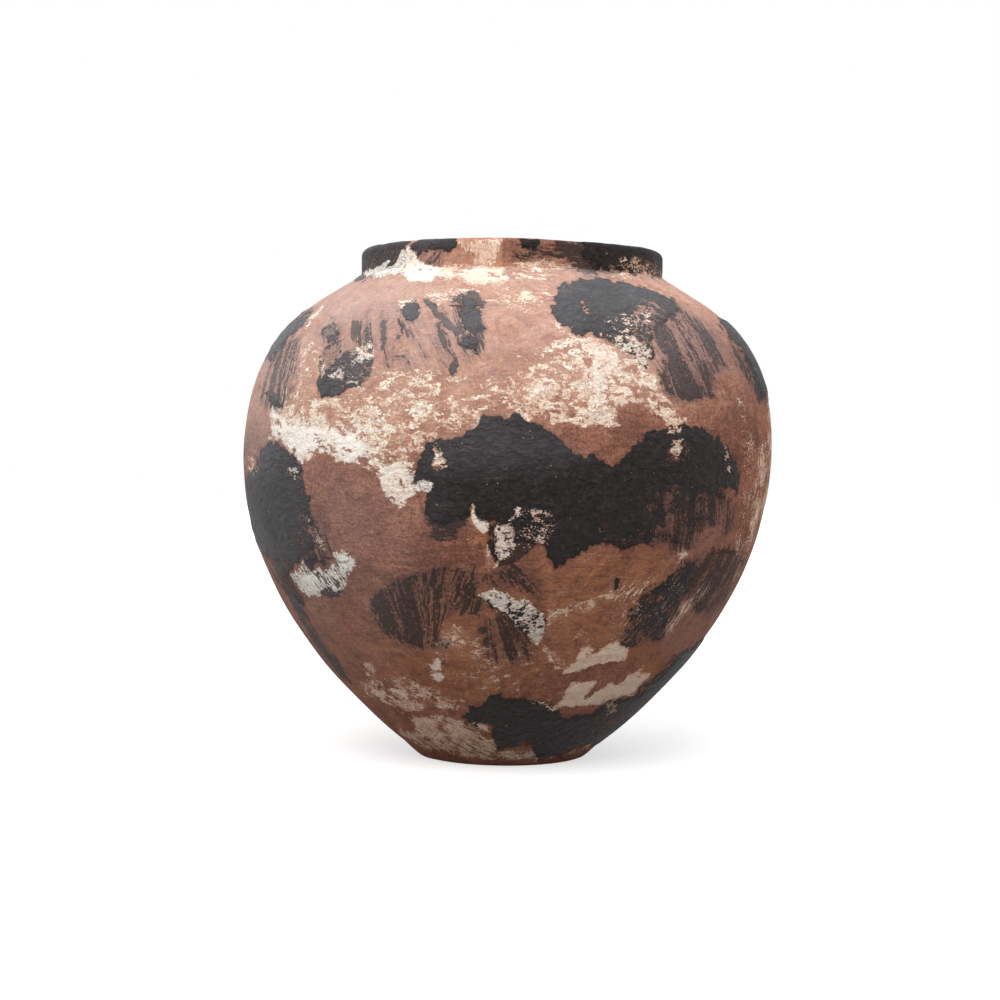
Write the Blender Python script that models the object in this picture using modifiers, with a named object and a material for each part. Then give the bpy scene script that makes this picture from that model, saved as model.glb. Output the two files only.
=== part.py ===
# Terracotta storage jar, thrown in sections that are luted together with slip.
# Metres, +Z up, origin under the widest part of the belly, front of the jar towards -Y.
# Each section is turned from a profile, then follows the slow lean of the hand-thrown pot.

import math

import bpy
from mathutils import Vector
from mathutils.geometry import interpolate_bezier

# Outer form
BELLY_RADIUS = 0.1505
BELLY_HEIGHT = 0.171
FOOT_RADIUS = 0.0567
FOOT_HEIGHT = 0.008
FOOT_INSET = 0.0097
SHOULDER_HEIGHT = 0.2716
SHOULDER_LEDGE = 0.0018

# Upright collar round the mouth, with a narrow flat on top of its lip
COLLAR_RADIUS = 0.0857
COLLAR_WALL = 0.010
COLLAR_RISE = 0.0155
LIP_OUTER_ROUND = 0.005
LIP_INNER_ROUND = 0.002
COLLAR_KEY_WIDTH = 0.003
COLLAR_KEY_DEPTH = 0.0015

# How the two arcs of the wall leave the foot, pass the belly and reach the shoulder
FOOT_ANGLE = math.radians(44.4)
SHOULDER_ANGLE = math.radians(34.7)
FOOT_REACH_SHARE = 0.03
BELLY_DOWN_REACH_SHARE = 0.571
BELLY_UP_REACH_SHARE = 0.72
SHOULDER_REACH_SHARE = 0.25
FOOT_ROUND_SHARE = 0.15
ROUND_HANDLE_SHARE = 0.6

# Clay thicknesses and the layer of slip between two pieces
WALL_THICKNESS = 0.009
BASE_PLUG_RISE = 0.002
SLIP_LAYER = 0.0003

# Half lap that joins the lower and the upper wall near the widest height
BELLY_SEAM_HEIGHT = 0.160
LAP_HEIGHT = 0.008

# Soft clay smeared over the three joints from inside
BASE_COIL_REACH = 0.010
BASE_COIL_HEIGHT = 0.010
BELLY_BAND_HEIGHT = 0.022
BELLY_BAND_BULGE = 0.0035
NECK_COIL_RISE = 0.004
NECK_COIL_DROP = 0.007
NECK_COIL_BULGE = 0.003
COIL_EDGE = 0.001
COIL_HOLLOW_SHARE = 0.35

# Lean of the finished pot: the foot stands a little to -X, the shoulder and collar to +X
LOWER_LEAN = -0.0009
UPPER_LEAN = 0.0016
LEAN_START_HEIGHT = 0.115
LEAN_END_HEIGHT = 0.250

# Fineness of the turned shapes
TURN_STEPS = 64
ARC_STEPS = 60
WALL_RINGS = 12
COIL_RINGS = 4
ROUND_STEPS = 4
MERGE_DISTANCE = 0.00005
SMOOTH_ANGLE = math.radians(40)

LIGHT_CLAY_COLOUR = (0.42, 0.20, 0.125, 1.0)
DARK_CLAY_COLOUR = (0.30, 0.135, 0.085, 1.0)
LIGHT_CLAY_ROUGHNESS = 0.85
DARK_CLAY_ROUGHNESS = 0.9

# Places that several pieces share
NECK_RADIUS = COLLAR_RADIUS - COLLAR_WALL
KEY_MIDDLE = COLLAR_RADIUS - COLLAR_WALL / 2
FLOOR_HEIGHT = FOOT_HEIGHT + BASE_PLUG_RISE


def clay(name, colour, roughness):
    material = bpy.data.materials.new(name)
    material.use_nodes = True
    shader = material.node_tree.nodes["Principled BSDF"]
    shader.inputs["Base Color"].default_value = colour
    shader.inputs["Roughness"].default_value = roughness
    shader.inputs["Metallic"].default_value = 0.0
    return material


def heading(angle):
    """Unit vector in the profile plane, turned from straight out towards straight up."""
    return Vector((math.cos(angle), math.sin(angle)))


def curve_points(start, start_handle, end_handle, end, count):
    points = interpolate_bezier(start, start_handle, end_handle, end, count)
    return [point.to_2d() for point in points]


def wall_line():
    """Outer line of the wall from foot to shoulder, as (radius, height) points."""
    foot = Vector((FOOT_RADIUS, FOOT_HEIGHT))
    belly = Vector((BELLY_RADIUS, BELLY_HEIGHT))
    shoulder = Vector((COLLAR_RADIUS + SHOULDER_LEDGE, SHOULDER_HEIGHT))
    lower_rise = Vector((0, BELLY_HEIGHT - FOOT_HEIGHT))
    upper_rise = Vector((0, SHOULDER_HEIGHT - BELLY_HEIGHT))
    foot_handle = foot + heading(FOOT_ANGLE) * FOOT_REACH_SHARE * lower_rise.y
    shoulder_handle = shoulder + heading(-SHOULDER_ANGLE) * SHOULDER_REACH_SHARE * upper_rise.y
    belly_low_handle = belly - lower_rise * BELLY_DOWN_REACH_SHARE
    belly_high_handle = belly + upper_rise * BELLY_UP_REACH_SHARE
    lower = curve_points(foot, foot_handle, belly_low_handle, belly, ARC_STEPS)
    upper = curve_points(belly, belly_high_handle, shoulder_handle, shoulder, ARC_STEPS)
    return lower + upper[1:]


def offset_line(depth):
    """The wall's line moved into the clay by a depth, square to the surface."""
    line = wall_line()
    befores = [line[0], *line[:-1]]
    afters = [*line[1:], line[-1]]
    moved = []
    for before, point, after in zip(befores, line, afters):
        along = (after - before).normalized()
        moved.append(point - Vector((along.y, -along.x)) * depth)
    return moved


def point_at_height(line, height):
    """Point of a rising line at a height. Past either end the line goes straight on."""
    for low, high in zip(line, line[1:]):
        if height <= high.y:
            break
    return low.lerp(high, (height - low.y) / (high.y - low.y))


def point_at_radius(line, radius):
    """Point where the top of a line closes in to a radius. Past its end the line goes straight on."""
    for low, high in zip(line[:-1][::-1], line[1:][::-1]):
        if radius <= low.x:
            break
    return low.lerp(high, (radius - low.x) / (high.x - low.x))


def evenly_spaced(points, count):
    """Points at even distances along a line, both ends kept."""
    reached = [0.0]
    for a, b in zip(points, points[1:]):
        reached.append(reached[-1] + (b - a).length)
    spaced = [points[0]]
    for k in range(1, count - 1):
        goal = reached[-1] * k / (count - 1)
        i = next(i for i, distance in enumerate(reached) if distance >= goal)
        share = (goal - reached[i - 1]) / (reached[i] - reached[i - 1])
        spaced.append(points[i - 1].lerp(points[i], share))
    return spaced + [points[-1]]


def stretch(depth, low, high, count):
    """Stretch of the wall's line at a depth in the clay, between two heights, from low to high."""
    line = offset_line(depth)
    inside = [point for point in line if low < point.y < high]
    return evenly_spaced([point_at_height(line, low), *inside, point_at_height(line, high)], count)


def quarter_round(corner, size, start):
    """Rounds a corner of the lip, turning a quarter clockwise from an angle."""
    centre = corner - (heading(start) + heading(start - math.pi / 2)) * size
    turns = [start - math.pi / 2 * i / ROUND_STEPS for i in range(ROUND_STEPS + 1)]
    return [centre + heading(angle) * size for angle in turns]


def lean_at(height):
    share = (height - LEAN_START_HEIGHT) / (LEAN_END_HEIGHT - LEAN_START_HEIGHT)
    share = min(max(share, 0.0), 1.0)
    eased = share * share * (3 - 2 * share)
    return LOWER_LEAN + (UPPER_LEAN - LOWER_LEAN) * eased


def turned(name, profile, material, closed=True):
    """Turns a profile round the Z axis and leans it. The profile runs down its outer side first."""
    count = len(profile)
    edges = [(i, i + 1) for i in range(count - 1)]
    if closed:
        edges.append((count - 1, 0))
    line = bpy.data.meshes.new(name + "_profile")
    line.from_pydata([(point.x, 0, point.y) for point in profile], edges, [])
    piece = bpy.data.objects.new(name, line)
    jar.objects.link(piece)
    screw = piece.modifiers.new("Turn", "SCREW")
    screw.axis = "Z"
    screw.steps = TURN_STEPS
    screw.render_steps = TURN_STEPS
    screw.use_merge_vertices = True
    screw.merge_threshold = MERGE_DISTANCE
    evaluated = piece.evaluated_get(bpy.context.evaluated_depsgraph_get())
    mesh = bpy.data.meshes.new_from_object(evaluated)
    piece.modifiers.clear()
    piece.data = mesh
    bpy.data.meshes.remove(line)
    for vertex in mesh.vertices:
        vertex.co.x += lean_at(vertex.co.z)
    mesh.name = name
    mesh.shade_smooth()
    mesh.set_sharp_from_angle(angle=SMOOTH_ANGLE)
    mesh.materials.append(material)
    return piece


def base_slab():
    """Round slab with a rounded foot, a ledge that carries the wall and a low plug that centres it."""
    wall_foot = point_at_height(offset_line(WALL_THICKNESS), FOOT_HEIGHT + SLIP_LAYER)
    plug_radius = wall_foot.x - SLIP_LAYER
    ledge_edge = Vector((FOOT_RADIUS, FOOT_HEIGHT))
    flat_edge = Vector((FOOT_RADIUS - FOOT_INSET, 0))
    corner = flat_edge + Vector((FOOT_INSET * FOOT_ROUND_SHARE, 0))
    round_handle = ledge_edge.lerp(corner, ROUND_HANDLE_SHARE)
    profile = [
        Vector((0, FLOOR_HEIGHT)),
        Vector((plug_radius, FLOOR_HEIGHT)),
        Vector((plug_radius, FOOT_HEIGHT)),
        *curve_points(ledge_edge, round_handle, corner, flat_edge, ROUND_STEPS + 1),
        Vector((0, 0)),
    ]
    return turned("base_slab", profile, dark_clay, closed=False)


def lower_wall():
    """Bowl without a floor. The inner half of its top edge stands up as the tongue of the belly lap."""
    foot = FOOT_HEIGHT + SLIP_LAYER
    lap_top = BELLY_SEAM_HEIGHT + LAP_HEIGHT
    tongue_depth = (WALL_THICKNESS + SLIP_LAYER) / 2
    outer = stretch(0, foot, BELLY_SEAM_HEIGHT, WALL_RINGS)
    inner = stretch(WALL_THICKNESS, foot, lap_top, WALL_RINGS)
    tongue = stretch(tongue_depth, BELLY_SEAM_HEIGHT, lap_top, 2)
    return turned("lower_wall", outer[::-1] + inner + tongue[::-1], light_clay)


def upper_wall():
    """Dome that laps over the tongue of the lower wall and ends in the flat seat of the collar."""
    seam = BELLY_SEAM_HEIGHT + SLIP_LAYER
    lap_top = seam + LAP_HEIGHT
    notch_depth = (WALL_THICKNESS - SLIP_LAYER) / 2
    under_side = offset_line(WALL_THICKNESS)
    under_shoulder = under_side[-1]
    under_neck = point_at_radius(under_side, NECK_RADIUS)
    outer = stretch(0, seam, SHOULDER_HEIGHT, WALL_RINGS)
    notch = stretch(notch_depth, seam, lap_top, 2)
    inner = stretch(WALL_THICKNESS, lap_top, under_shoulder.y, WALL_RINGS)
    groove_half = COLLAR_KEY_WIDTH / 2 + SLIP_LAYER
    groove_floor = SHOULDER_HEIGHT - COLLAR_KEY_DEPTH
    seat = [
        under_neck,
        Vector((NECK_RADIUS, SHOULDER_HEIGHT)),
        Vector((KEY_MIDDLE - groove_half, SHOULDER_HEIGHT)),
        Vector((KEY_MIDDLE - groove_half, groove_floor)),
        Vector((KEY_MIDDLE + groove_half, groove_floor)),
        Vector((KEY_MIDDLE + groove_half, SHOULDER_HEIGHT)),
    ]
    return turned("upper_wall", outer[::-1] + notch + inner + seat, light_clay)


def neck_collar():
    """Upright ring round the mouth, with a rounded lip and a key under its foot."""
    foot = SHOULDER_HEIGHT + SLIP_LAYER
    lip_top = SHOULDER_HEIGHT + COLLAR_RISE
    key_half = COLLAR_KEY_WIDTH / 2
    key_foot = foot - COLLAR_KEY_DEPTH
    profile = [
        *quarter_round(Vector((COLLAR_RADIUS, lip_top)), LIP_OUTER_ROUND, math.pi / 2),
        Vector((COLLAR_RADIUS, foot)),
        Vector((KEY_MIDDLE + key_half, foot)),
        Vector((KEY_MIDDLE + key_half, key_foot)),
        Vector((KEY_MIDDLE - key_half, key_foot)),
        Vector((KEY_MIDDLE - key_half, foot)),
        Vector((NECK_RADIUS, foot)),
        *quarter_round(Vector((NECK_RADIUS, lip_top)), LIP_INNER_ROUND, math.pi),
    ]
    return turned("neck_collar", profile, dark_clay)


def base_seam_coil():
    """Coil smeared into the corner between the floor and the wall."""
    floor = FLOOR_HEIGHT + SLIP_LAYER
    wall_side = stretch(WALL_THICKNESS + SLIP_LAYER, floor, floor + BASE_COIL_HEIGHT, COIL_RINGS)
    corner = wall_side[0]
    floor_edge = corner - Vector((BASE_COIL_REACH, 0))
    low_edge = floor_edge + Vector((0, COIL_EDGE))
    high_edge = wall_side[-1] - Vector((COIL_EDGE, 0))
    handle = ((low_edge + high_edge) / 2).lerp(corner, COIL_HOLLOW_SHARE)
    face = curve_points(low_edge, handle, handle, high_edge, COIL_RINGS)
    return turned("base_seam_coil", wall_side[::-1] + [floor_edge] + face, dark_clay)


def belly_seam_coil():
    """Flat band of clay pressed over the inside of the belly lap."""
    middle = BELLY_SEAM_HEIGHT + LAP_HEIGHT / 2
    low = middle - BELLY_BAND_HEIGHT / 2
    high = middle + BELLY_BAND_HEIGHT / 2
    wall_side = stretch(WALL_THICKNESS + SLIP_LAYER, low, high, COIL_RINGS)
    low_edge = wall_side[0] - Vector((COIL_EDGE, 0))
    high_edge = wall_side[-1] - Vector((COIL_EDGE, 0))
    bulge = Vector((BELLY_BAND_BULGE, 0))
    face = curve_points(low_edge, wall_side[1] - bulge, wall_side[-2] - bulge, high_edge, COIL_RINGS)
    return turned("belly_seam_coil", wall_side[::-1] + face, dark_clay)


def neck_seam_coil():
    """Coil smeared round the edge under the neck and up over the joint of the collar."""
    bore = NECK_RADIUS - SLIP_LAYER
    dome_side = offset_line(WALL_THICKNESS + SLIP_LAYER)
    corner = point_at_radius(dome_side, bore)
    low = point_at_height(dome_side, corner.y - NECK_COIL_DROP)
    high = Vector((bore, SHOULDER_HEIGHT + NECK_COIL_RISE))
    low_edge = low - Vector((0, COIL_EDGE))
    high_edge = high - Vector((COIL_EDGE, 0))
    handle = Vector((bore - NECK_COIL_BULGE, low_edge.y))
    face = curve_points(low_edge, handle, handle, high_edge, COIL_RINGS + 1)
    return turned("neck_seam_coil", [high, corner, low] + face, dark_clay)


for old in list(bpy.data.objects):
    bpy.data.objects.remove(old, do_unlink=True)

jar = bpy.data.collections.new("terracotta_jar")
bpy.context.scene.collection.children.link(jar)
light_clay = clay("light_clay", LIGHT_CLAY_COLOUR, LIGHT_CLAY_ROUGHNESS)
dark_clay = clay("dark_clay", DARK_CLAY_COLOUR, DARK_CLAY_ROUGHNESS)

base_slab()
lower_wall()
upper_wall()
neck_collar()
base_seam_coil()
belly_seam_coil()
neck_seam_coil()
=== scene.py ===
# A hand-thrown terracotta jar: its turned skins, and a worn finish that is sponged, daubed and combed on.

import math

import bmesh
import bpy
import numpy as np
from mathutils import Euler, Matrix


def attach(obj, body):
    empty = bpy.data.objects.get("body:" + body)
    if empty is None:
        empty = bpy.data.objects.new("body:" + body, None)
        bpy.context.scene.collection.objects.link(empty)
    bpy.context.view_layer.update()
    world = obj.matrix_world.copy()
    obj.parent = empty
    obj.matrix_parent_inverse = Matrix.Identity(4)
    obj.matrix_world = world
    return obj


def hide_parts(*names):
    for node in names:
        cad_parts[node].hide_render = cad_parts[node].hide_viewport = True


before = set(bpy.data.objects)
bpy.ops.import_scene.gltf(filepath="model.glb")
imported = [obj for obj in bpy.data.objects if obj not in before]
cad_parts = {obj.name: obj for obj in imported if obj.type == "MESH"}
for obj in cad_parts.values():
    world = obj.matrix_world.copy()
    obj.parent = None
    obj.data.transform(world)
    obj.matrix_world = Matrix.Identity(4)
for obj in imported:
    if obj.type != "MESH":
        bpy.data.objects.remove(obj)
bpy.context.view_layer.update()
print("frame loaded")

# Where the photograph was taken from, in metres and degrees
view = {
    "distance": 1.100,
    "height": 0.1846,
    "across": -0.00371,
    "pitch": 2.04,
    "roll": 0.70,
    "lens": 68.9,
    "sensor": 36.0,
    "picture": 1000,
    "pixelsPerMetre": 2015.0,
}

# The turned form, as the solids have it
wall = {
    "bellyRadius": 0.1505,
    "bellyHeight": 0.171,
    "footRadius": 0.0567,
    "footHeight": 0.008,
    "footInset": 0.0097,
    "shoulderRadius": 0.0875,
    "shoulderHeight": 0.2716,
    "footAngle": 44.4,
    "shoulderAngle": 34.7,
    "footReach": 0.03,
    "bellyDownReach": 0.571,
    "bellyUpReach": 0.72,
    "shoulderReach": 0.25,
    "thickness": 0.009,
    "slip": 0.0003,
    "seamHeight": 0.160,
    "lapHeight": 0.008,
    "lowerLean": -0.0009,
    "upperLean": 0.0016,
    "leanStart": 0.115,
    "leanEnd": 0.250,
    "curveSteps": 400,
}
shoulderTop = wall["shoulderHeight"]


def eased(value, low, high):
    share = np.clip((value - low) / (high - low), 0.0, 1.0)
    return share * share * (3 - 2 * share)


def leanAt(height):
    share = eased(height, wall["leanStart"], wall["leanEnd"])
    return wall["lowerLean"] + (wall["upperLean"] - wall["lowerLean"]) * share


def arc(start, startHandle, endHandle, end, count):
    t = np.linspace(0, 1, count)[:, None]
    a, b, c, d = (np.array(point, float) for point in (start, startHandle, endHandle, end))
    return (1 - t) ** 3 * a + 3 * (1 - t) ** 2 * t * b + 3 * (1 - t) * t ** 2 * c + t ** 3 * d


def heading(degrees):
    return np.array((math.cos(math.radians(degrees)), math.sin(math.radians(degrees))))


# Outer line of the wall from foot to shoulder, as radius and height
def turnedLine():
    foot = np.array((wall["footRadius"], wall["footHeight"]))
    belly = np.array((wall["bellyRadius"], wall["bellyHeight"]))
    shoulder = np.array((wall["shoulderRadius"], shoulderTop))
    down = np.array((0, belly[1] - foot[1]))
    up = np.array((0, shoulder[1] - belly[1]))
    footHandle = foot + heading(wall["footAngle"]) * wall["footReach"] * down[1]
    shoulderHandle = shoulder + heading(-wall["shoulderAngle"]) * wall["shoulderReach"] * up[1]
    lower = arc(foot, footHandle, belly - down * wall["bellyDownReach"], belly, wall["curveSteps"])
    upper = arc(belly, belly + up * wall["bellyUpReach"], shoulderHandle, shoulder, wall["curveSteps"])
    return np.vstack([lower, upper[1:]])


def outwardOf(line):
    along = np.gradient(line, axis=0)
    along /= np.linalg.norm(along, axis=1)[:, None]
    return np.stack([along[:, 1], -along[:, 0]], 1)


wallLine = turnedLine()
wallOutward = outwardOf(wallLine)


def radiusAt(height, line=wallLine):
    return np.interp(height, line[:, 1], line[:, 0])


# A line through points, with points added so that none are further apart than a step
def spaced(points, step):
    points = np.array(points, float)
    run = np.concatenate([[0], np.cumsum(np.hypot(*np.diff(points, axis=0).T))])
    count = max(2, int(math.ceil(run[-1] / step)) + 1)
    places = np.linspace(0, run[-1], count)
    return np.stack([np.interp(places, run, points[:, side]) for side in (0, 1)], 1)


# A point, and a stretch of the wall's line, at a depth in the clay
def insidePoint(depth, height):
    return float(radiusAt(height, wallLine - wallOutward * depth)), height


def wallStretch(depth, low, high, step):
    heights = np.linspace(low, high, wall["curveSteps"])
    return spaced(np.stack([radiusAt(heights, wallLine - wallOutward * depth), heights], 1), step)


# Slow and quick wavering, as a sum of waves in set directions
def waver(points, size, seed, waves=14, slowest=0.7, quickest=1.6):
    chance = np.random.default_rng(seed)
    ways = chance.normal(size=(waves, 3))
    ways /= np.linalg.norm(ways, axis=1)[:, None]
    rates = 2 * math.pi / (size * chance.uniform(slowest, quickest, waves))
    starts = chance.uniform(0, 2 * math.pi, waves)
    return np.sin(points @ (ways * rates[:, None]).T + starts).sum(1) / math.sqrt(waves)


# Places round the leaning middle line, and the angle from the front at which a place stands
def roundTheLine(radius, angle, height):
    return np.stack([leanAt(height) + radius * np.sin(angle), -radius * np.cos(angle), height], 1)


def standing(points, heights):
    across = points[:, 0] - leanAt(heights)
    return np.arctan2(across, -points[:, 1]), np.hypot(across, points[:, 1])


# Pixel of the photograph at which a place shows
def photoPixel(points):
    pitch = math.radians(view["pitch"])
    roll = math.radians(view["roll"])
    across = points[:, 0] - view["across"]
    ahead = points[:, 1] + view["distance"]
    above = points[:, 2] - view["height"]
    depth = ahead * math.cos(pitch) - above * math.sin(pitch)
    rise = ahead * math.sin(pitch) + above * math.cos(pitch)
    focal = view["lens"] / view["sensor"] * view["picture"]
    u = focal * across / depth
    w = focal * rise / depth
    right = u * math.cos(roll) + w * math.sin(roll)
    high = w * math.cos(roll) - u * math.sin(roll)
    return np.stack([view["picture"] / 2 + right, view["picture"] / 2 - high], 1)


# How the marks of the side that shows are carried round the far side, turned, shifted and reshaped
farSide = {
    "turnRight": 24.0,
    "turnLeft": 34.0,
    "liftRight": 0.034,
    "liftLeft": -0.048,
    "dropBehind": 0.022,
    "wander": 0.007,
    "wanderSize": 0.05,
    "wanderFrom": 0.3,
    "turnRadius": 0.12,
    "regrow": 15.0,
    "regrowSize": 0.035,
    "regrowFrom": 0.28,
    "brownShare": 0.6,
}


def markPlaces(points, heights):
    turn, radius = standing(points, heights)
    turn = np.degrees(turn)
    side = np.where(turn >= 0, 1.0, -1.0)
    behind = np.clip((np.abs(turn) - 90) / 90, 0, 1)
    swell = np.sin(math.pi * behind)
    past = (1 - np.cos(math.pi * behind)) / 2
    wander = farSide["wander"] * eased(behind, 0, farSide["wanderFrom"])
    nearTurn = np.where(behind > 0, side * (180 - np.abs(turn)), turn)
    nearTurn = nearTurn + swell * np.where(side > 0, farSide["turnRight"], farSide["turnLeft"] * (1 - behind))
    nearTurn = nearTurn + np.degrees(wander / farSide["turnRadius"]) * waver(points, farSide["wanderSize"], 12)
    lift = swell * np.where(side > 0, farSide["liftRight"], farSide["liftLeft"]) - past * farSide["dropBehind"]
    lift = lift + wander * waver(points, farSide["wanderSize"], 11)
    middle = np.clip(np.sin(math.pi * np.clip(heights / shoulderTop, 0, 1)), 0, 1)
    moved = np.where(heights > shoulderTop, heights, np.clip(heights + middle * lift, 0.0, shoulderTop))
    radius = np.where((heights < shoulderTop) & (behind > 0), radiusAt(moved), radius)
    return roundTheLine(radius, np.radians(nearTurn), moved), behind


# The marks of the finish. An outline is x and y in turn, in pixels of the photograph. In the areas the numbers
# before it are how much is marked and the pixels that its edge is soft, and a number after it is how white it is.
def box(left, top, right, bottom):
    return [left, top, right, top, right, bottom, left, bottom]


# Thick black daubs, with their thickness in millimetres
blackDaubs = {
    "bellyDaub": (0.7, [
        415,482, 414,472, 419,466, 418,459, 424,456, 426,447, 436,440, 450,437, 462,435, 472,430, 480,419,
        496,415, 504,421, 516,415, 533,420, 540,427, 551,430, 562,442, 570,450, 583,456, 592,457, 603,461,
        613,467, 624,460, 632,448, 643,441, 645,435, 660,431, 672,427, 685,423, 695,428, 706,430, 718,439,
        730,451, 737,464, 739,482, 736,496, 726,502, 716,497, 712,515, 700,526, 690,537, 680,545, 668,541,
        657,545, 645,543, 632,545, 620,550, 605,543, 592,545, 584,551, 574,555, 567,564, 556,567, 547,558,
        546,543, 532,545, 516,540, 508,524, 495,521, 481,521, 476,512, 470,505, 469,514, 462,520, 452,518,
        446,524, 436,522, 428,516, 424,508, 428,498, 430,489, 422,490]),
    "bellyTail": (0.4, [486,524, 493,526, 493,540, 497,552, 499,562, 493,556, 488,543]),
    "leftDaub": (0.5, [
        246,474, 254,471, 258,461, 263,451, 270,445, 278,441, 286,449, 297,458, 302,466, 298,477, 304,485,
        301,493, 310,499, 306,509, 313,521, 308,532, 315,541, 310,551, 317,560, 309,567, 303,560, 295,562,
        291,572, 286,580, 279,571, 272,559, 268,556, 258,550, 252,528, 246,500]),
    "leftDaubFoot": (0.2, [290,592, 297,596, 304,604, 301,607, 294,601]),
    "shoulderDaub": (0.7, [
        551,311, 557,304, 552,298, 558,291, 556,287, 564,284, 572,284, 576,279, 590,280, 602,278, 620,281,
        633,285, 645,287, 660,294, 672,300, 677,311, 668,322, 655,330, 652,342, 653,356, 646,367, 637,362,
        628,353, 618,346, 608,336, 597,336, 588,331, 582,337, 570,329, 559,321]),
    "rightEdgeDaub": (1.3, [
        718,319, 728,321, 736,329, 744,337, 752,346, 757,358, 763,372, 768,392, 768,402, 762,398, 756,385,
        750,371, 744,358, 737,346, 731,338, 725,331, 720,325]),
    "leftEdgeDaub": (0.8, [
        312,307, 300,314, 290,322, 280,333, 271,347, 266,358, 272,361, 279,349, 287,342, 294,335, 299,328,
        306,321]),
    "shoulderDabHigh": (0.4, [
        462,294, 472,298, 475,303, 470,307, 479,312, 480,319, 484,327, 483,332, 476,334, 468,330, 462,322,
        460,312, 464,304]),
    "shoulderDabLow": (0.3, [459,341, 470,338, 480,339, 479,346, 474,352, 467,347]),
    "shoulderDabLeft": (0.3, [399,309, 406,303, 416,302, 419,310, 417,321, 409,323, 404,315]),
    "leftDabSolid": (0.4, [319,381, 326,374, 335,376, 343,382, 342,393, 334,397, 322,396]),
    "leftDabEdge": (0.3, [268,392, 276,394, 284,405, 279,408, 270,401]),
    "footDaub": (0.6, [
        464,718, 466,711, 472,707, 481,706, 487,701, 491,696, 503,696, 515,699, 530,700, 542,702, 553,706,
        560,714, 568,718, 580,716, 590,715, 600,709, 604,703, 615,700, 628,699, 638,693, 645,684, 656,676,
        665,668, 676,656, 690,647, 700,640, 712,636, 712,650, 690,678, 660,708, 632,730, 614,740, 600,744,
        586,743, 576,747, 564,752, 552,756, 538,757, 536,748, 524,742, 510,746, 500,751, 495,742, 491,735,
        495,729, 489,724, 480,722, 472,727, 466,723]),
    "sideDaub": (0.5, [
        621,646, 624,634, 631,622, 630,612, 638,602, 644,594, 652,590, 660,586, 667,578, 676,573, 681,563,
        693,561, 697,570, 690,581, 688,592, 681,600, 678,612, 671,618, 664,624, 660,632, 655,640, 646,637,
        643,630, 636,632, 634,645, 627,648]),
    "patchBacking": (0.3, [
        482,598, 492,593, 504,595, 516,602, 527,603, 536,609, 543,618, 543,630, 540,641, 534,641, 524,632,
        512,622, 500,611, 488,605]),
    "collarLeftEnd": (0.3, [
        355,244, 378,243, 396,241, 408,240, 405,249, 404,262, 397,268, 386,271, 376,275, 366,278, 355,280]),
    "collarTopStrip": (0.3, [
        413,244, 421,239, 440,238, 455,238, 455,248, 447,252, 440,251, 432,248, 427,253, 420,256, 416,250]),
    "collarSpot": (0.2, [521,239, 537,239, 537,247, 530,250, 522,248]),
    "collarRightEnd": (0.3, [
        580,237, 600,239, 640,243, 668,248, 668,278, 655,277, 646,270, 636,274, 625,269, 612,273, 600,268,
        592,272, 588,260, 581,254, 584,246]),
    # Painted shade: a dark daub that stands in for the shadow inside a small pit in the wall
    "pit": (0.1, [611,580, 616,578, 619,584, 616,589, 612,586]),
    "leftPairHigh": (0.2, [
        326,324, 334,320, 340,325, 337,334, 341,343, 341,353, 333,357, 325,352, 328,342, 323,333]),
    "leftPairMiddle": (0.2, [
        320,358, 330,353, 341,357, 350,351, 362,354, 371,362, 369,376, 361,386, 348,388, 341,379, 330,374,
        321,369]),
}

# Places inside the black where what lies under it shows
daubOpenings = {
    "bellyChipHigh": [433,448, 437,448, 441,456, 439,459, 435,455],
    "bellyChipLow": [433,463, 442,462, 446,467, 441,470, 435,468],
    "bellyEdgeGap": [720,489, 730,486, 734,496, 726,503, 719,500],
    "shoulderSlash": [580,303, 583,304, 591,316, 588,316],
    "lowGap": box(637, 527, 640, 538),
}

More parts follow.
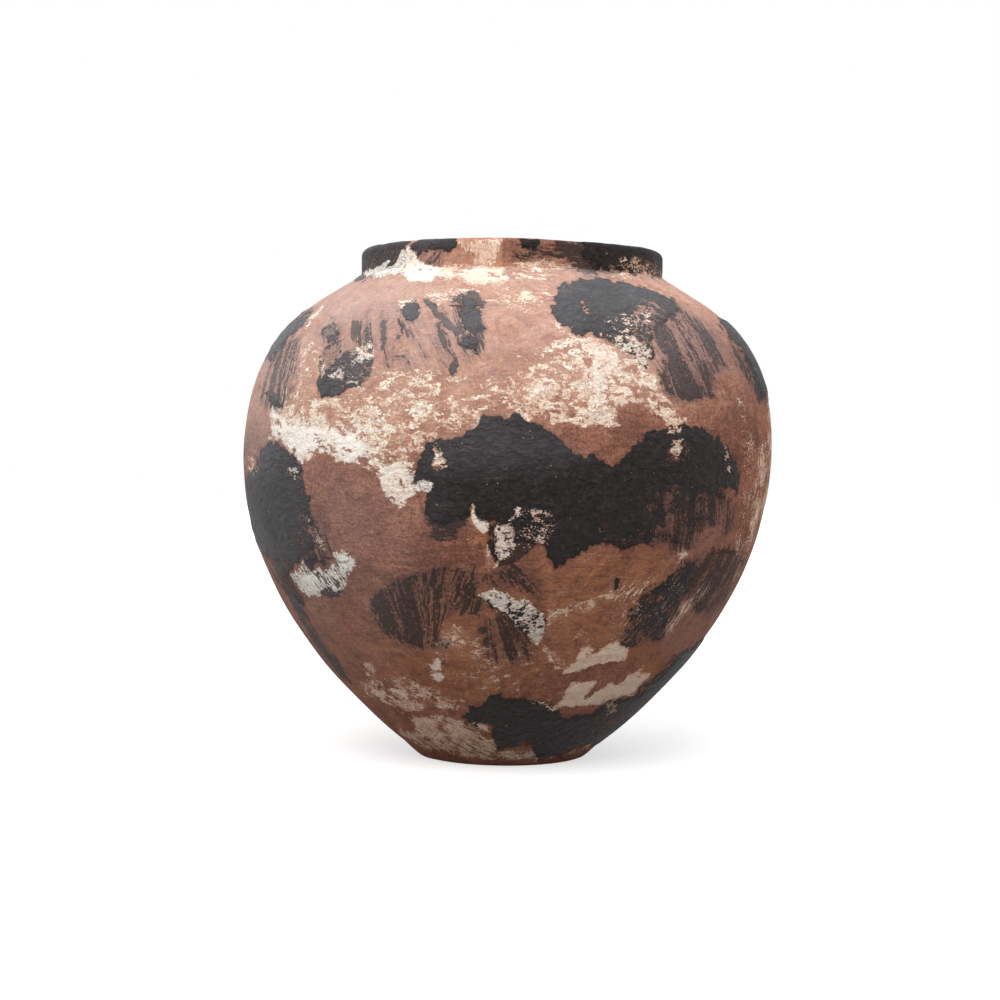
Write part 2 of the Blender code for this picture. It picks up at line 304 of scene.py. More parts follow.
# Black laid on with a nearly dry brush or comb
dryBlack = {
    "shoulderSweep": (0.53, 7, [
        655,297, 676,302, 700,320, 714,338, 722,362, 714,388, 704,396, 690,399, 672,396, 660,382, 655,365,
        652,340]),
    "shoulderSweepSolid": (0.8, 4, [
        658,358, 668,360, 678,368, 682,384, 700,384, 712,396, 700,398, 684,401, 671,396, 663,384]),
    "shoulderSweepEdge": (0.62, 3, [683,318, 694,318, 714,340, 724,361, 731,372, 722,368, 710,352, 698,338]),
    "rightStreaks": (0.58, 3, [728,338, 738,350, 748,368, 760,392, 765,408, 757,400, 744,374, 733,354]),
    "leftPairRight": (0.46, 6, [350,322, 366,320, 374,334, 378,346, 372,354, 356,348, 350,336]),
    "thinLine": (0.72, 2, [384,321, 388,322, 383,352, 379,352]),
    "brushLineOne": (0.76, 2, [423,300, 429,299, 440,311, 451,321, 462,334, 458,338, 445,326, 433,313]),
    "brushLineTwo": (0.74, 2, [
        434,321, 440,322, 452,344, 458,354, 458,366, 454,377, 450,374, 452,356, 444,346]),
    "brushLineThree": (0.64, 2, [416,343, 420,343, 431,359, 427,361]),
    "brushLineFour": (0.62, 2, [398,320, 404,322, 412,334, 408,340, 400,332]),
    "shoulderHaze": (0.15, 14, [
        318,330, 350,312, 400,300, 440,298, 480,310, 480,360, 440,380, 380,372, 330,390]),
    "leftEdgeStreaks": (0.5, 5, [
        286,340, 300,336, 300,370, 292,400, 278,412, 264,410, 258,396, 266,372, 274,354]),
    "combLeft": (0.58, 5, [
        369,603, 374,592, 382,588, 390,578, 400,577, 406,590, 410,604, 418,620, 424,640, 418,647, 402,645,
        388,637, 376,624]),
    "combMiddle": (0.47, 5, [
        394,578, 410,574, 430,568, 452,566, 470,568, 476,580, 472,600, 456,614, 442,622, 440,640, 424,646,
        410,640, 404,610]),
    "combFoot": (0.52, 5, [402,634, 424,622, 440,626, 444,640, 452,640, 450,648, 430,648, 408,648]),
    "combRight": (0.5, 5, [452,572, 470,566, 480,572, 478,592, 484,606, 478,616, 462,616, 450,606]),
    "middleSmudge": (0.47, 8, [
        476,572, 496,570, 520,562, 532,572, 542,592, 538,602, 516,594, 498,588, 484,588]),
    "lowerFan": (0.47, 8, [
        478,628, 488,616, 502,611, 516,618, 530,631, 539,646, 531,660, 514,667, 496,662, 482,648]),
    "bellyRightWear": (0.46, 5, [
        652,490, 676,484, 700,480, 722,490, 738,504, 734,530, 722,538, 716,524, 700,536, 690,552, 670,552,
        656,540, 648,516]),
    "bellyLeftSmear": (0.66, 6, [422,508, 436,514, 452,514, 468,512, 466,526, 456,536, 442,540, 430,534]),
    "leftDaubRim": (0.5, 6, [300,470, 312,510, 324,528, 334,548, 336,560, 322,568, 308,560, 300,520]),
    "leftDaubLow": (0.55, 5, [268,548, 290,556, 296,574, 306,600, 300,610, 286,592, 274,572]),
    "underWhite": (0.86, 3, [
        298,580, 304,566, 312,573, 330,571, 338,560, 350,560, 350,572, 344,586, 340,594, 332,597, 326,595,
        318,594, 306,592]),
    "leftFootLine": (0.6, 3, [
        300,606, 316,628, 330,650, 344,668, 352,684, 344,682, 326,660, 308,634, 294,608]),
    "sideTail": (0.56, 6, [
        680,566, 700,556, 716,547, 738,546, 744,560, 734,580, 722,602, 706,618, 690,612, 684,596]),
    "sideFoot": (0.5, 4, [624,630, 650,628, 672,616, 668,632, 656,642, 636,648]),
    "collarGrime": (0.42, 8, [412,246, 446,250, 450,262, 436,268, 418,268]),
    "collarBrown": (0.27, 10, [500,240, 560,240, 560,264, 512,262]),
    "collarFade": (0.72, 12, [552,234, 600,236, 612,266, 590,276, 566,268, 556,252]),
    "rightRimDark": (0.55, 2, [766,470, 770,470, 772,500, 766,540, 756,566, 761,540, 767,505]),
    "shoulderDabs": (0.55, 4, [450,296, 474,291, 485,304, 486,330, 483,350, 472,357, 462,342, 452,318]),
    "trailBacking": (0.8, 3, [491,526, 508,516, 524,514, 536,545, 524,556, 508,566, 498,567, 493,545]),
}

# Where the thick black is rubbed or combed through, so that brown shows in it
wornBlack = {
    "bellyRight": (0.45, 9, [
        648,492, 660,482, 676,478, 694,486, 714,488, 724,498, 718,522, 706,534, 690,548, 668,550, 650,546,
        640,522, 644,504]),
    "bellyRightHigh": (0.34, 5, [660,430, 684,424, 690,446, 688,470, 676,490, 662,480, 664,450]),
    "bellyRightRim": (0.38, 4, [716,440, 728,448, 737,470, 728,480, 720,462]),
    "bellyRightLow": (0.58, 9, [650,520, 668,506, 690,520, 712,508, 712,524, 690,548, 664,552, 646,546]),
    "bellyLow": (0.34, 6, [590,524, 606,520, 612,536, 640,522, 644,546, 600,546]),
    "leftFringe": (0.5, 6, [300,496, 312,516, 326,545, 336,562, 316,572, 300,562, 292,530]),
    "leftFoot": (0.4, 6, [262,540, 282,550, 300,566, 296,590, 280,582, 266,560]),
    "shoulderRight": (0.46, 7, [
        626,316, 644,298, 668,298, 682,312, 668,330, 658,352, 646,368, 630,352, 622,334]),
    "side": (0.42, 5, [618,648, 630,606, 656,586, 680,558, 702,558, 700,580, 676,620, 652,646]),
    "footRight": (0.34, 7, [590,712, 620,696, 650,680, 660,700, 630,732, 596,738]),
    "rightEdge": (0.36, 3, [716,322, 728,334, 744,360, 758,390, 752,392, 736,362, 722,338]),
    "collarLeft": (0.34, 4, [364,262, 380,252, 398,246, 408,250, 400,262, 384,274, 366,276]),
    "collarRight": (0.36, 5, [596,262, 612,256, 640,254, 664,262, 664,278, 600,274]),
    "leftPair": (0.5, 5, [312,314, 380,314, 380,390, 350,392, 340,373, 312,371]),
}

# Smooth brown skins of stain that lie over the sponged cream, with a crisp edge
brownSkins = {
    "rightSkin": [
        621,407, 630,403, 641,406, 652,417, 662,415, 670,425, 660,432, 646,438, 637,448, 626,462, 603,466,
        583,460, 565,452, 548,436, 545,427, 560,421, 574,426, 600,428, 622,427, 619,416],
    "leftSkin": [
        300,467, 310,459, 322,453, 331,455, 339,462, 358,464, 370,472, 379,477, 383,489, 388,506, 400,509,
        412,503, 426,499, 432,528, 450,540, 480,540, 486,566, 440,572, 390,580, 350,566, 322,548, 312,520,
        304,490],
    "rightBand": [
        690,402, 706,396, 722,372, 736,372, 752,396, 760,440, 764,500, 752,545, 742,556, 738,540, 742,480,
        732,450, 712,430, 688,420],
    "lowSkin": [
        546,677, 560,676, 576,671, 588,667, 601,664, 612,661, 626,661, 634,663, 636,668, 630,674, 622,681,
        610,684, 603,688, 595,693, 584,699, 588,692, 597,681, 585,680, 572,684, 562,690, 548,690],
    "footSkin": [552,708, 566,708, 586,706, 602,706, 594,712, 580,716, 566,718, 556,714],
}

# Cream sponged on under the stain and the black
creamUnder = {
    "wideFlecks": (0.44, 24, [
        262,396, 276,352, 312,338, 350,354, 400,366, 450,370, 480,378, 516,360, 545,330, 575,335, 640,345,
        690,405, 690,428, 640,410, 600,430, 545,430, 500,424, 470,434, 430,452, 415,482, 400,510, 380,480,
        350,466, 300,466, 268,440]),
    "leftFlecks": (0.54, 18, [
        270,394, 300,384, 345,390, 400,383, 440,388, 468,394, 486,412, 466,432, 436,440, 424,450, 415,472,
        400,508, 382,490, 378,475, 345,464, 300,464, 272,442]),
    "leftPlaster": (0.8, 9, [
        270,424, 286,418, 302,424, 335,428, 360,430, 370,444, 371,458, 358,466, 345,466, 335,458, 326,453,
        310,460, 300,467, 290,453, 280,442, 271,442], 0.85),
    "leftPlasterEdge": (0.56, 4, [268,396, 278,402, 284,420, 300,424, 296,440, 280,440, 270,430], 0.7),
    "columnTop": (0.6, 12, [
        350,402, 372,396, 402,400, 440,412, 432,438, 420,455, 400,466, 376,464, 366,440, 352,426]),
    "columnFoot": (0.67, 4, [
        376,470, 394,462, 414,462, 422,470, 416,480, 430,484, 428,492, 414,494, 405,508, 388,509,
        382,494], 0.6),
    "rightField": (0.57, 16, [
        532,346, 560,334, 600,340, 646,362, 666,376, 670,404, 640,408, 622,430, 590,430, 560,424, 528,416,
        514,398, 522,372]),
    "rightDense": (0.68, 12, [586,354, 606,348, 630,362, 652,382, 646,400, 616,418, 594,412, 584,386], 0.3),
    "rightEdge": (0.7, 9, [546,410, 575,413, 600,416, 622,414, 624,429, 600,430, 573,428, 546,426], 0.3),
    "rightBridge": (0.66, 6, [
        630,388, 646,384, 656,398, 664,406, 680,412, 688,418, 684,425, 668,427, 655,420, 642,408]),
    "underDaub": (0.66, 9, [
        556,318, 572,330, 590,336, 612,344, 632,364, 646,374, 632,380, 600,364, 572,346, 552,330], 0.3),
    "lowRight": (0.78, 3, [
        562,676, 564,668, 574,662, 578,652, 586,646, 598,651, 604,646, 614,642, 624,644, 629,650, 627,662,
        600,668, 578,676]),
    "lowRightFoot": (0.78, 3, [
        564,692, 572,683, 582,680, 597,678, 604,688, 608,684, 620,682, 628,674, 640,670, 651,672, 648,679,
        642,686, 634,694, 620,699, 606,704, 586,707, 566,709, 556,713, 549,708, 562,700]),
    "centreLow": (0.4, 7, [438,620, 456,614, 468,624, 470,640, 464,656, 450,650, 440,640]),
    "centreLowWide": (0.3, 14, [430,640, 470,630, 500,650, 560,640, 560,672, 540,690, 480,700, 440,690]),
    "whiteFleck": (0.54, 5, [430,662, 437,655, 444,658, 442,667, 446,678, 438,684, 430,675, 433,668], 0.5),
    "warmFlecks": (0.38, 6, [
        540,606, 566,606, 592,596, 612,586, 632,580, 656,572, 656,590, 636,600, 612,606, 590,612, 566,622,
        548,624]),
    "warmFlecksBright": (0.55, 3, [
        584,600, 596,594, 606,592, 618,594, 636,588, 654,577, 653,585, 642,594, 624,598, 606,603, 590,610]),
    "lowPink": (0.46, 6, [538,646, 552,648, 566,656, 572,668, 558,673, 546,668]),
    "lowLeftHigh": (0.58, 4, [362,664, 372,664, 380,674, 374,680, 366,676]),
    "lowLeftMiddle": (0.62, 6, [
        366,686, 378,682, 388,692, 400,684, 418,682, 420,698, 432,702, 424,712, 404,712, 390,704, 376,694]),
    "lowLeftMist": (0.46, 9, [352,680, 400,672, 440,690, 470,700, 470,712, 430,712, 400,716, 370,700]),
    "footLeft": (0.62, 7, [
        408,716, 430,714, 452,712, 466,722, 482,728, 494,738, 500,752, 470,757, 440,750, 418,738]),
    "footBand": (0.58, 6, [
        396,724, 440,740, 500,748, 560,756, 600,738, 596,746, 550,760, 480,760, 430,752, 400,738]),
    "sideDots": (0.64, 3, [677,548, 686,546, 690,556, 684,562, 678,568, 680,558]),
    "sideTrail": (0.6, 3, [
        664,626, 676,610, 688,598, 702,584, 714,570, 718,576, 706,592, 694,606, 682,618, 673,632, 664,636]),
    "collarFoot": (0.76, 6, [
        434,268, 450,263, 480,264, 508,266, 512,276, 506,287, 480,286, 458,280, 440,278]),
    "collarFootLeft": (0.52, 5, [388,272, 410,266, 434,266, 442,276, 430,284, 404,280], 0.7),
    "wipeLeft": (0.52, 9, [420,292, 448,282, 500,290, 520,300, 470,300]),
    "wipeRight": (0.48, 9, [520,284, 560,286, 556,304, 530,312, 512,300]),
    "collarFootRight": (0.56, 8, [505,268, 540,270, 574,272, 576,288, 560,290, 548,283, 512,284]),
    "collarMiddle": (0.72, 8, [
        453,238, 480,239, 500,239, 503,250, 498,262, 486,268, 476,258, 464,256, 456,250]),
    "collarWipes": (0.54, 6, [512,264, 540,258, 575,262, 580,272, 520,274]),
    "collarRightSpecks": (0.44, 5, [590,270, 612,262, 640,258, 660,262, 664,278, 640,280, 610,278]),
    "shoulderStreak": (0.66, 3, [
        324,300, 330,302, 318,314, 309,326, 304,337, 300,335, 306,322, 314,310], 0.3),
    "leftEdgeCream": (0.44, 6, [292,344, 306,340, 304,372, 294,404, 280,412, 276,398, 286,374]),
    "between": (0.53, 12, [
        440,384, 480,388, 520,372, 548,352, 560,380, 546,420, 510,412, 480,416, 450,436, 430,440]),
    "upperFlecks": (0.45, 12, [350,382, 400,366, 440,364, 474,376, 470,396, 400,396, 352,398]),
    "flame": (0.58, 4, [486,540, 493,544, 496,560, 490,574, 484,568, 482,554]),
    "sideCream": (0.42, 5, [736,545, 746,550, 742,575, 732,592, 724,600, 726,585, 734,568]),
    "middleFlecks": (0.36, 12, [508,338, 536,322, 560,332, 552,366, 524,384, 506,372]),
    "lowFlecks": (0.27, 24, [430,660, 480,650, 560,640, 660,560, 690,580, 640,650, 560,700, 470,700]),
    "underCollarWash": (0.42, 12, [420,284, 560,284, 556,310, 500,318, 440,310]),
    "collarColumn": (0.7, 8, [474,250, 482,240, 490,242, 494,262, 500,270, 468,270, 472,262]),
    "leftRimFlecks": (0.5, 6, [288,372, 306,352, 314,362, 306,392, 296,410, 282,404]),
    "abovePlaster": (0.6, 12, [
        270,404, 320,400, 352,410, 384,398, 424,410, 410,446, 372,450, 340,434, 272,432]),
}

# White and cream dabs that lie on top of the black
creamOver = {
    "bellyDrip": (0.95, 2, [
        471,503, 475,506, 477,517, 482,521, 489,522, 489,530, 484,533, 477,529, 473,520], 0.5),
    "bellyTrail": (0.56, 4, [
        493,524, 500,524, 508,517, 516,513, 514,528, 519,545, 510,556, 500,562, 496,550, 494,538], 0.4),
    "trailTail": (0.7, 2, [498,558, 502,561, 494,571, 490,571, 491,567]),
    "trailDot": (0.74, 3, [514,508, 520,504, 525,512, 520,519, 515,516], 0.5),
    "trailFlecks": (0.33, 8, [520,508, 548,504, 562,516, 546,546, 524,550, 512,530]),
    "eyeDot": (0.6, 3, [533,538, 540,535, 546,540, 541,546, 535,543], 0.4),
    "leftWhite": (0.57, 2, [
        290,574, 297,570, 302,564, 303,556, 307,563, 312,570, 318,566, 328,568, 335,562, 332,553, 338,549,
        346,551, 352,556, 357,561, 356,568, 352,572, 351,580, 346,588, 334,594, 322,591, 321,598, 308,599,
        300,590, 293,581], 1),
    "leftWhiteCore": (0.76, 5, [298,576, 312,570, 320,576, 322,588, 319,597, 308,597, 302,588], 1),
    "leftWhiteTop": (0.8, 4, [335,552, 346,553, 356,562, 354,570, 346,574, 340,566], 0.9),
    "networkWhite": (0.6, 2, [
        477,595, 487,591, 495,587, 505,590, 514,596, 519,600, 527,599, 535,606, 543,614, 546,626, 543,640,
        537,648, 528,638, 518,628, 508,618, 498,612, 487,605], 0.5),
    "networkSolid": (0.74, 3, [
        479,595, 487,593, 496,589, 505,592, 510,600, 506,606, 506,616, 496,611, 488,604], 0.6),
    "shoulderSpecksLow": (0.6, 5, [
        596,334, 612,334, 626,328, 640,338, 652,350, 650,368, 637,368, 622,354, 608,342], 0.4),
    "shoulderSpecksHigh": (0.4, 6, [606,320, 622,312, 648,312, 656,328, 646,342, 628,336, 614,332], 0.4),
    "bellyChipCream": (0.74, 4, [432,446, 439,447, 444,458, 446,468, 439,471, 432,466, 436,458]),
    "bellyNotchWhite": (0.76, 3, [415,483, 424,480, 433,479, 438,482, 432,489, 429,496, 424,492, 415,491], 1),
    "rightPairHigh": (0.62, 3, [664,424, 680,416, 686,424, 682,433, 668,435]),
    "rightPairLow": (0.64, 3, [670,441, 682,438, 684,452, 676,462, 668,454]),
    "leftFleck": (0.5, 4, [289,467, 298,466, 299,478, 293,481], 0.8),
    "leftRimDrips": (0.45, 3, [247,454, 256,456, 260,470, 254,480, 248,474]),
    "leftClumps": (0.36, 5, [302,514, 312,516, 320,532, 330,552, 322,558, 312,540]),
    "collarSlashOne": (0.9, 2, [
        363,272, 372,268, 380,266, 390,258, 391,262, 386,268, 394,266, 392,272, 378,276, 366,277], 1),
    "collarSlashTwo": (0.88, 2, [390,270, 397,262, 402,250, 406,248, 406,262, 402,270, 392,275], 1),
    "collarFan": (0.78, 3, [
        405,243, 410,242, 414,250, 420,260, 430,265, 440,265, 442,272, 434,280, 420,283, 408,281, 402,272,
        404,258], 0.9),
    "collarSpecks": (0.44, 4, [614,264, 622,257, 640,256, 652,262, 662,268, 664,278, 645,276, 625,270]),
    "collarEdgeFlecks": (0.4, 3, [366,268, 378,266, 386,272, 380,279, 366,278]),
    "dabRim": (0.55, 3, [396,308, 400,300, 412,298, 416,302, 404,305, 400,314], 0.5),
    "shoulderSmear": (0.52, 4, [420,290, 448,288, 466,294, 464,302, 448,302, 436,308, 430,300], 0.4),
    "leftFlecksHigh": (0.46, 3, [360,340, 372,336, 378,350, 376,362, 352,364, 352,354], 0.6),
    "leftFlecksLow": (0.46, 3, [318,362, 326,362, 328,374, 340,366, 348,370, 344,380, 330,378, 320,372], 0.6),
    "footBits": (0.5, 3, [466,722, 480,722, 490,730, 486,736, 474,732]),
    "footEdgeBits": (0.55, 2, [528,701, 545,701, 552,706, 560,710, 552,712, 540,705, 530,704], 0.5),
    "sideBits": (0.42, 3, [604,702, 618,702, 618,712, 606,714]),
    "rightRim": (0.54, 4, [764,380, 772,380, 778,440, 772,500, 762,540, 757,520, 766,470, 768,430]),
    "rightRimLow": (0.53, 5, [756,448, 766,440, 768,470, 763,510, 752,548, 744,560, 746,530, 752,490]),
    "rightSpecks": (0.42, 6, [734,396, 744,396, 756,440, 752,500, 740,560, 732,556, 742,500, 744,450]),
    "rightChain": (0.5, 2, [722,441, 728,446, 730,474, 725,474]),
}

# Broad changes of the stain: salmon on the shoulder, mauve and orange in it, rust brown elsewhere
salmonAreas = {
    "shoulder": (1, 26, [
        230,262, 780,262, 730,330, 712,322, 690,330, 650,400, 560,408, 480,410, 430,430, 400,450, 330,440,
        270,430, 230,420]),
    "collarPale": (0.8, 7, [405,236, 500,234, 506,262, 545,270, 660,272, 664,286, 400,286]),
}

mauveAreas = {
    "leftShoulder": (0.42, 22, [310,306, 390,296, 470,330, 480,376, 400,382, 320,380]),
    "middle": (0.6, 16, [486,350, 550,350, 556,385, 490,390]),
    "rightShoulder": (0.8, 16, [650,320, 700,320, 740,370, 730,400, 660,400]),
    "lowRight": (0.9, 14, [640,640, 672,616, 708,580, 745,560, 730,620, 680,660]),
    "bellyRight": (0.5, 12, [655,500, 735,500, 735,540, 690,560, 655,545]),
}

orangeAreas = {
    "rightLow": (0.8, 22, [545,560, 660,555, 680,575, 640,610, 600,650, 550,640]),
    "smear": (0.7, 8, [474,520, 494,530, 498,556, 492,576, 476,572, 470,550]),
    "centreLow": (0.7, 20, [440,610, 500,640, 560,650, 540,690, 450,680]),
    "collar": (0.35, 8, [440,240, 500,240, 500,260, 450,262]),
    "leftClumps": (0.8, 8, [304,512, 326,530, 334,556, 320,560]),
    "warmFlecks": (0.9, 9, [542,610, 580,598, 616,582, 656,574, 654,592, 614,606, 574,622, 546,624]),
    "low": (0.44, 40, [300,590, 720,590, 700,660, 600,740, 420,740, 320,680]),
    "rightLimb": (0.6, 14, [738,400, 776,400, 776,520, 742,580, 726,556, 748,470]),
}

# Painted sheen: a chalky paling that stands in for the haze of the light from above, strongest at the upper left
paintedSheenAreas = {
    "upper": (0.22, 130, [150,100, 850,100, 850,330, 600,350, 400,400, 150,480]),
    "upperLeft": (0.3, 70, [150,200, 480,220, 430,330, 330,360, 290,420, 270,470, 150,500]),
    "left": (0.1, 70, [150,400, 400,400, 420,520, 380,640, 330,700, 150,700]),
    "bellyTop": (0.08, 22, [410,430, 480,410, 550,424, 590,452, 560,462, 420,474]),
}

# Painted sheen on the left of the collar
collarBloom = {
    "left": (0.12, 40, box(340, 220, 450, 290)),
}

# Which way the brush or comb went over the unrolled wall: an angle in degrees below level, or the centre of
# a fan. Where True follows, it keeps that way past the edge of what the photograph shows.
strokeWays = {
    "shoulderSweep": (57, [645,290, 735,290, 790,420, 645,410]),
    "leftShoulder": (58, [395,285, 490,285, 490,390, 410,390]),
    "leftPair": (75, box(312, 310, 394, 400)),
    "leftRim": (92, [230,330, 311,330, 300,470, 230,470], True),
    "leftDaub": (71, box(230, 471, 345, 560)),
    "leftWhite": (45, box(230, 560, 366, 700)),
    "comb": ((417, 690), box(366, 560, 486, 655)),
    "middle": (46, box(487, 560, 550, 608)),
    "lowerFan": ((478, 578), box(486, 609, 545, 668)),
    "side": (-49, [612,552, 745,552, 760,660, 612,660]),
    "bellyRight": (87, box(645, 480, 747, 551)),
    "rightRim": (92, box(748, 372, 800, 620), True),
    "lowLeft": (21, box(340, 701, 500, 780)),
    "collarLeft": (-45, box(350, 230, 440, 284)),
    "collarMiddle": (82, box(441, 230, 510, 268)),
    "flame": (96, box(470, 520, 500, 559)),
    "collarWipes": (4, box(511, 236, 600, 290)),
    "underCollar": (9, box(376, 269, 510, 306)),
}
fanWidth = 75

# How far the cream follows the stroke direction instead of lying as sponge marks
streakAreas = {
    "leftRim": (0.8, 10, [230,330, 300,330, 286,410, 230,470]),
    "rightRim": (1, 6, [734,372, 800,372, 800,620, 722,620]),
    "side": (1, 6, [662,575, 760,560, 720,640, 640,650]),
    "lowLeft": (0.8, 16, [380,712, 500,708, 520,780, 380,780]),
    "leftWhite": (1, 6, box(286, 545, 362, 605)),
    "flame": (0.9, 4, box(478, 535, 500, 580)),
    "belly": (0.5, 6, [640,500, 720,500, 716,560, 640,560]),
    "collar": (0.8, 4, box(360, 236, 420, 280)),
    "collarMiddle": (0.6, 4, box(440, 236, 505, 268)),
    "low": (0.5, 14, [540,640, 660,640, 620,715, 540,715]),
    "collarWipes": (0.8, 5, box(508, 256, 590, 292)),
    "sideDaub": (0.9, 6, [612,560, 700,552, 700,600, 650,650, 612,650]),
    "underCollar": (0.8, 8, [376,276, 576,280, 566,312, 380,306]),
}

# How far round an outline its depth is measured in pixels, at most and for an area that is soft
edgeReach = 40.0
leastReach = 4
reachPastSoft = 1.1


# Pixels that a place lies inside an outline, negative outside it
def pixelsInside(place, outline, reach=edgeReach):
    outline = np.array(outline, float).reshape(-1, 2)
    depth = np.full(len(place), -reach)
    near = np.flatnonzero(((place > outline.min(0) - reach) & (place < outline.max(0) + reach)).all(1))
    point = place[near]
    gap = np.full(len(near), reach * 4)
    within = np.zeros(len(near), bool)
    for a, b in zip(outline, np.roll(outline, -1, 0)):
        side = b - a
        share = np.clip(((point - a) @ side) / (side @ side), 0, 1)
        gap = np.minimum(gap, np.linalg.norm(point - a - share[:, None] * side, axis=1))
        if a[1] != b[1]:
            crosses = (a[1] > point[:, 1]) != (b[1] > point[:, 1])
            within ^= crosses & (point[:, 0] < a[0] + (point[:, 1] - a[1]) * side[0] / side[1])
    depth[near] = np.where(within, gap, np.maximum(-gap, -reach))
    return depth


# How much an area covers at each place. Where whitened is true it is how white its cream is.
def softCover(place, areas, whitened=False):
    cover = np.zeros(len(place))
    for amount, soft, outline, *white in areas.values():
        if whitened:
            amount = white[0] if white else 0.0
        depth = pixelsInside(place, outline, max(soft, leastReach) * reachPastSoft)
        cover = np.maximum(cover, amount * eased(depth, -soft, soft))
    return cover


def unrolledAt(points, heights):
    turn, radius = standing(points, heights)
    return view["picture"] / 2 + view["pixelsPerMetre"] * radius * turn


def strokeField(points, heights, place, near):
    marked = np.stack([unrolledAt(near, near[:, 2]), place[:, 1]], 1)
    real = np.stack([unrolledAt(points, heights), -view["pixelsPerMetre"] * heights], 1)
    field = real[:, ::-1].copy()
    for way, outline, *onWall in strokeWays.values():
        inside = pixelsInside(place, outline, 1.0) > 0
        x, y = (real if onWall else marked)[inside].T
        if isinstance(way, tuple):
            x, y = x - way[0], y - way[1]
            across, along = np.arctan2(x, -y) * fanWidth, np.hypot(x, y)
        else:
            c, s = math.cos(math.radians(way)), math.sin(math.radians(way))
            across, along = y * c - x * s, x * c + y * s
        field[inside] = np.stack([across, along], 1)
    return field.T


# How far marks stray from their outlines, in pixels, and the size of each stray in metres
stray = ((1.1, 0.011), (0.6, 0.005))

# Edges of the paint in pixels, where the cream is thick, and how thick brown and cream lie in millimetres
layer = {"blackEdge": (-1, 4), "brownEdge": (-1, 3), "creamEdge": (0.55, 0.9), "brown": 0.25, "cream": 0.45}
millimetre = 0.001


# Everything the finish needs to know at each place of a skin, and how thick the paint is there
def finishAt(points, heights, coat):
    near, behind = markPlaces(points, heights)
    place = photoPixel(near)
    for side, seed in ((0, 21), (1, 23)):
        for shift, (reach, size) in enumerate(stray):
            place[:, side] += reach * waver(points, size, seed + shift)
    regrow = eased(behind, 0.0, farSide["regrowFrom"]) * farSide["regrow"] * waver(points, farSide["regrowSize"], 31)
    black = np.full(len(points), -edgeReach)
    brown = black.copy()
    build = np.zeros(len(points))
    for thickness, outline in blackDaubs.values():
        depth = pixelsInside(place, outline)
        build = np.maximum(build, thickness * eased(depth + regrow, *layer["blackEdge"]))
        black = np.maximum(black, depth)
    black = black + regrow
    for outline in daubOpenings.values():
        black = np.minimum(black, -pixelsInside(place, outline))
    for outline in brownSkins.values():
        brown = np.maximum(brown, pixelsInside(place, outline))
    brown = brown + farSide["brownShare"] * regrow
    # How much painted sheen pales each place; the collar takes its own areas
    paintedSheen = np.where(heights > shoulderTop, softCover(place, collarBloom), softCover(place, paintedSheenAreas))
    under, over = softCover(place, creamUnder), softCover(place, creamOver)
    white = np.maximum(softCover(place, creamUnder, True), softCover(place, creamOver, True))
    build = np.maximum(build, layer["brown"] * eased(brown, *layer["brownEdge"]))
    build = np.maximum(build, layer["cream"] * eased(np.maximum(under, over), *layer["creamEdge"]))
    fields = {
        "paintEdges": (black, brown, softCover(place, streakAreas)),
        "paintCover": (under, over, softCover(place, dryBlack)),
        "stroke": (*strokeField(points, heights, place, near), white),
        "stain": [softCover(place, areas) for areas in (salmonAreas, mauveAreas, orangeAreas)],
        "surface": (paintedSheen, coat, softCover(place, wornBlack)),
    }
    return fields, build * coat


def inScene(name, data):
    made = bpy.data.objects.new(name, data)
    bpy.context.scene.collection.objects.link(made)
    return made


# A hand's unevenness in the thrown clay, in metres: for each waver its reach, its size and its seed
throwing = ((0.00030, 0.11, 1), (0.00014, 0.028, 2))
dentSizes = ((0.012, 3), (0.03, 4))

# Lengths under which a step is no step, a point is on the wall's line, and a place is on the ground
tiny = 1e-9
onLineWithin = 1e-5
flatBelow = 0.0005
sharpAngle = 55


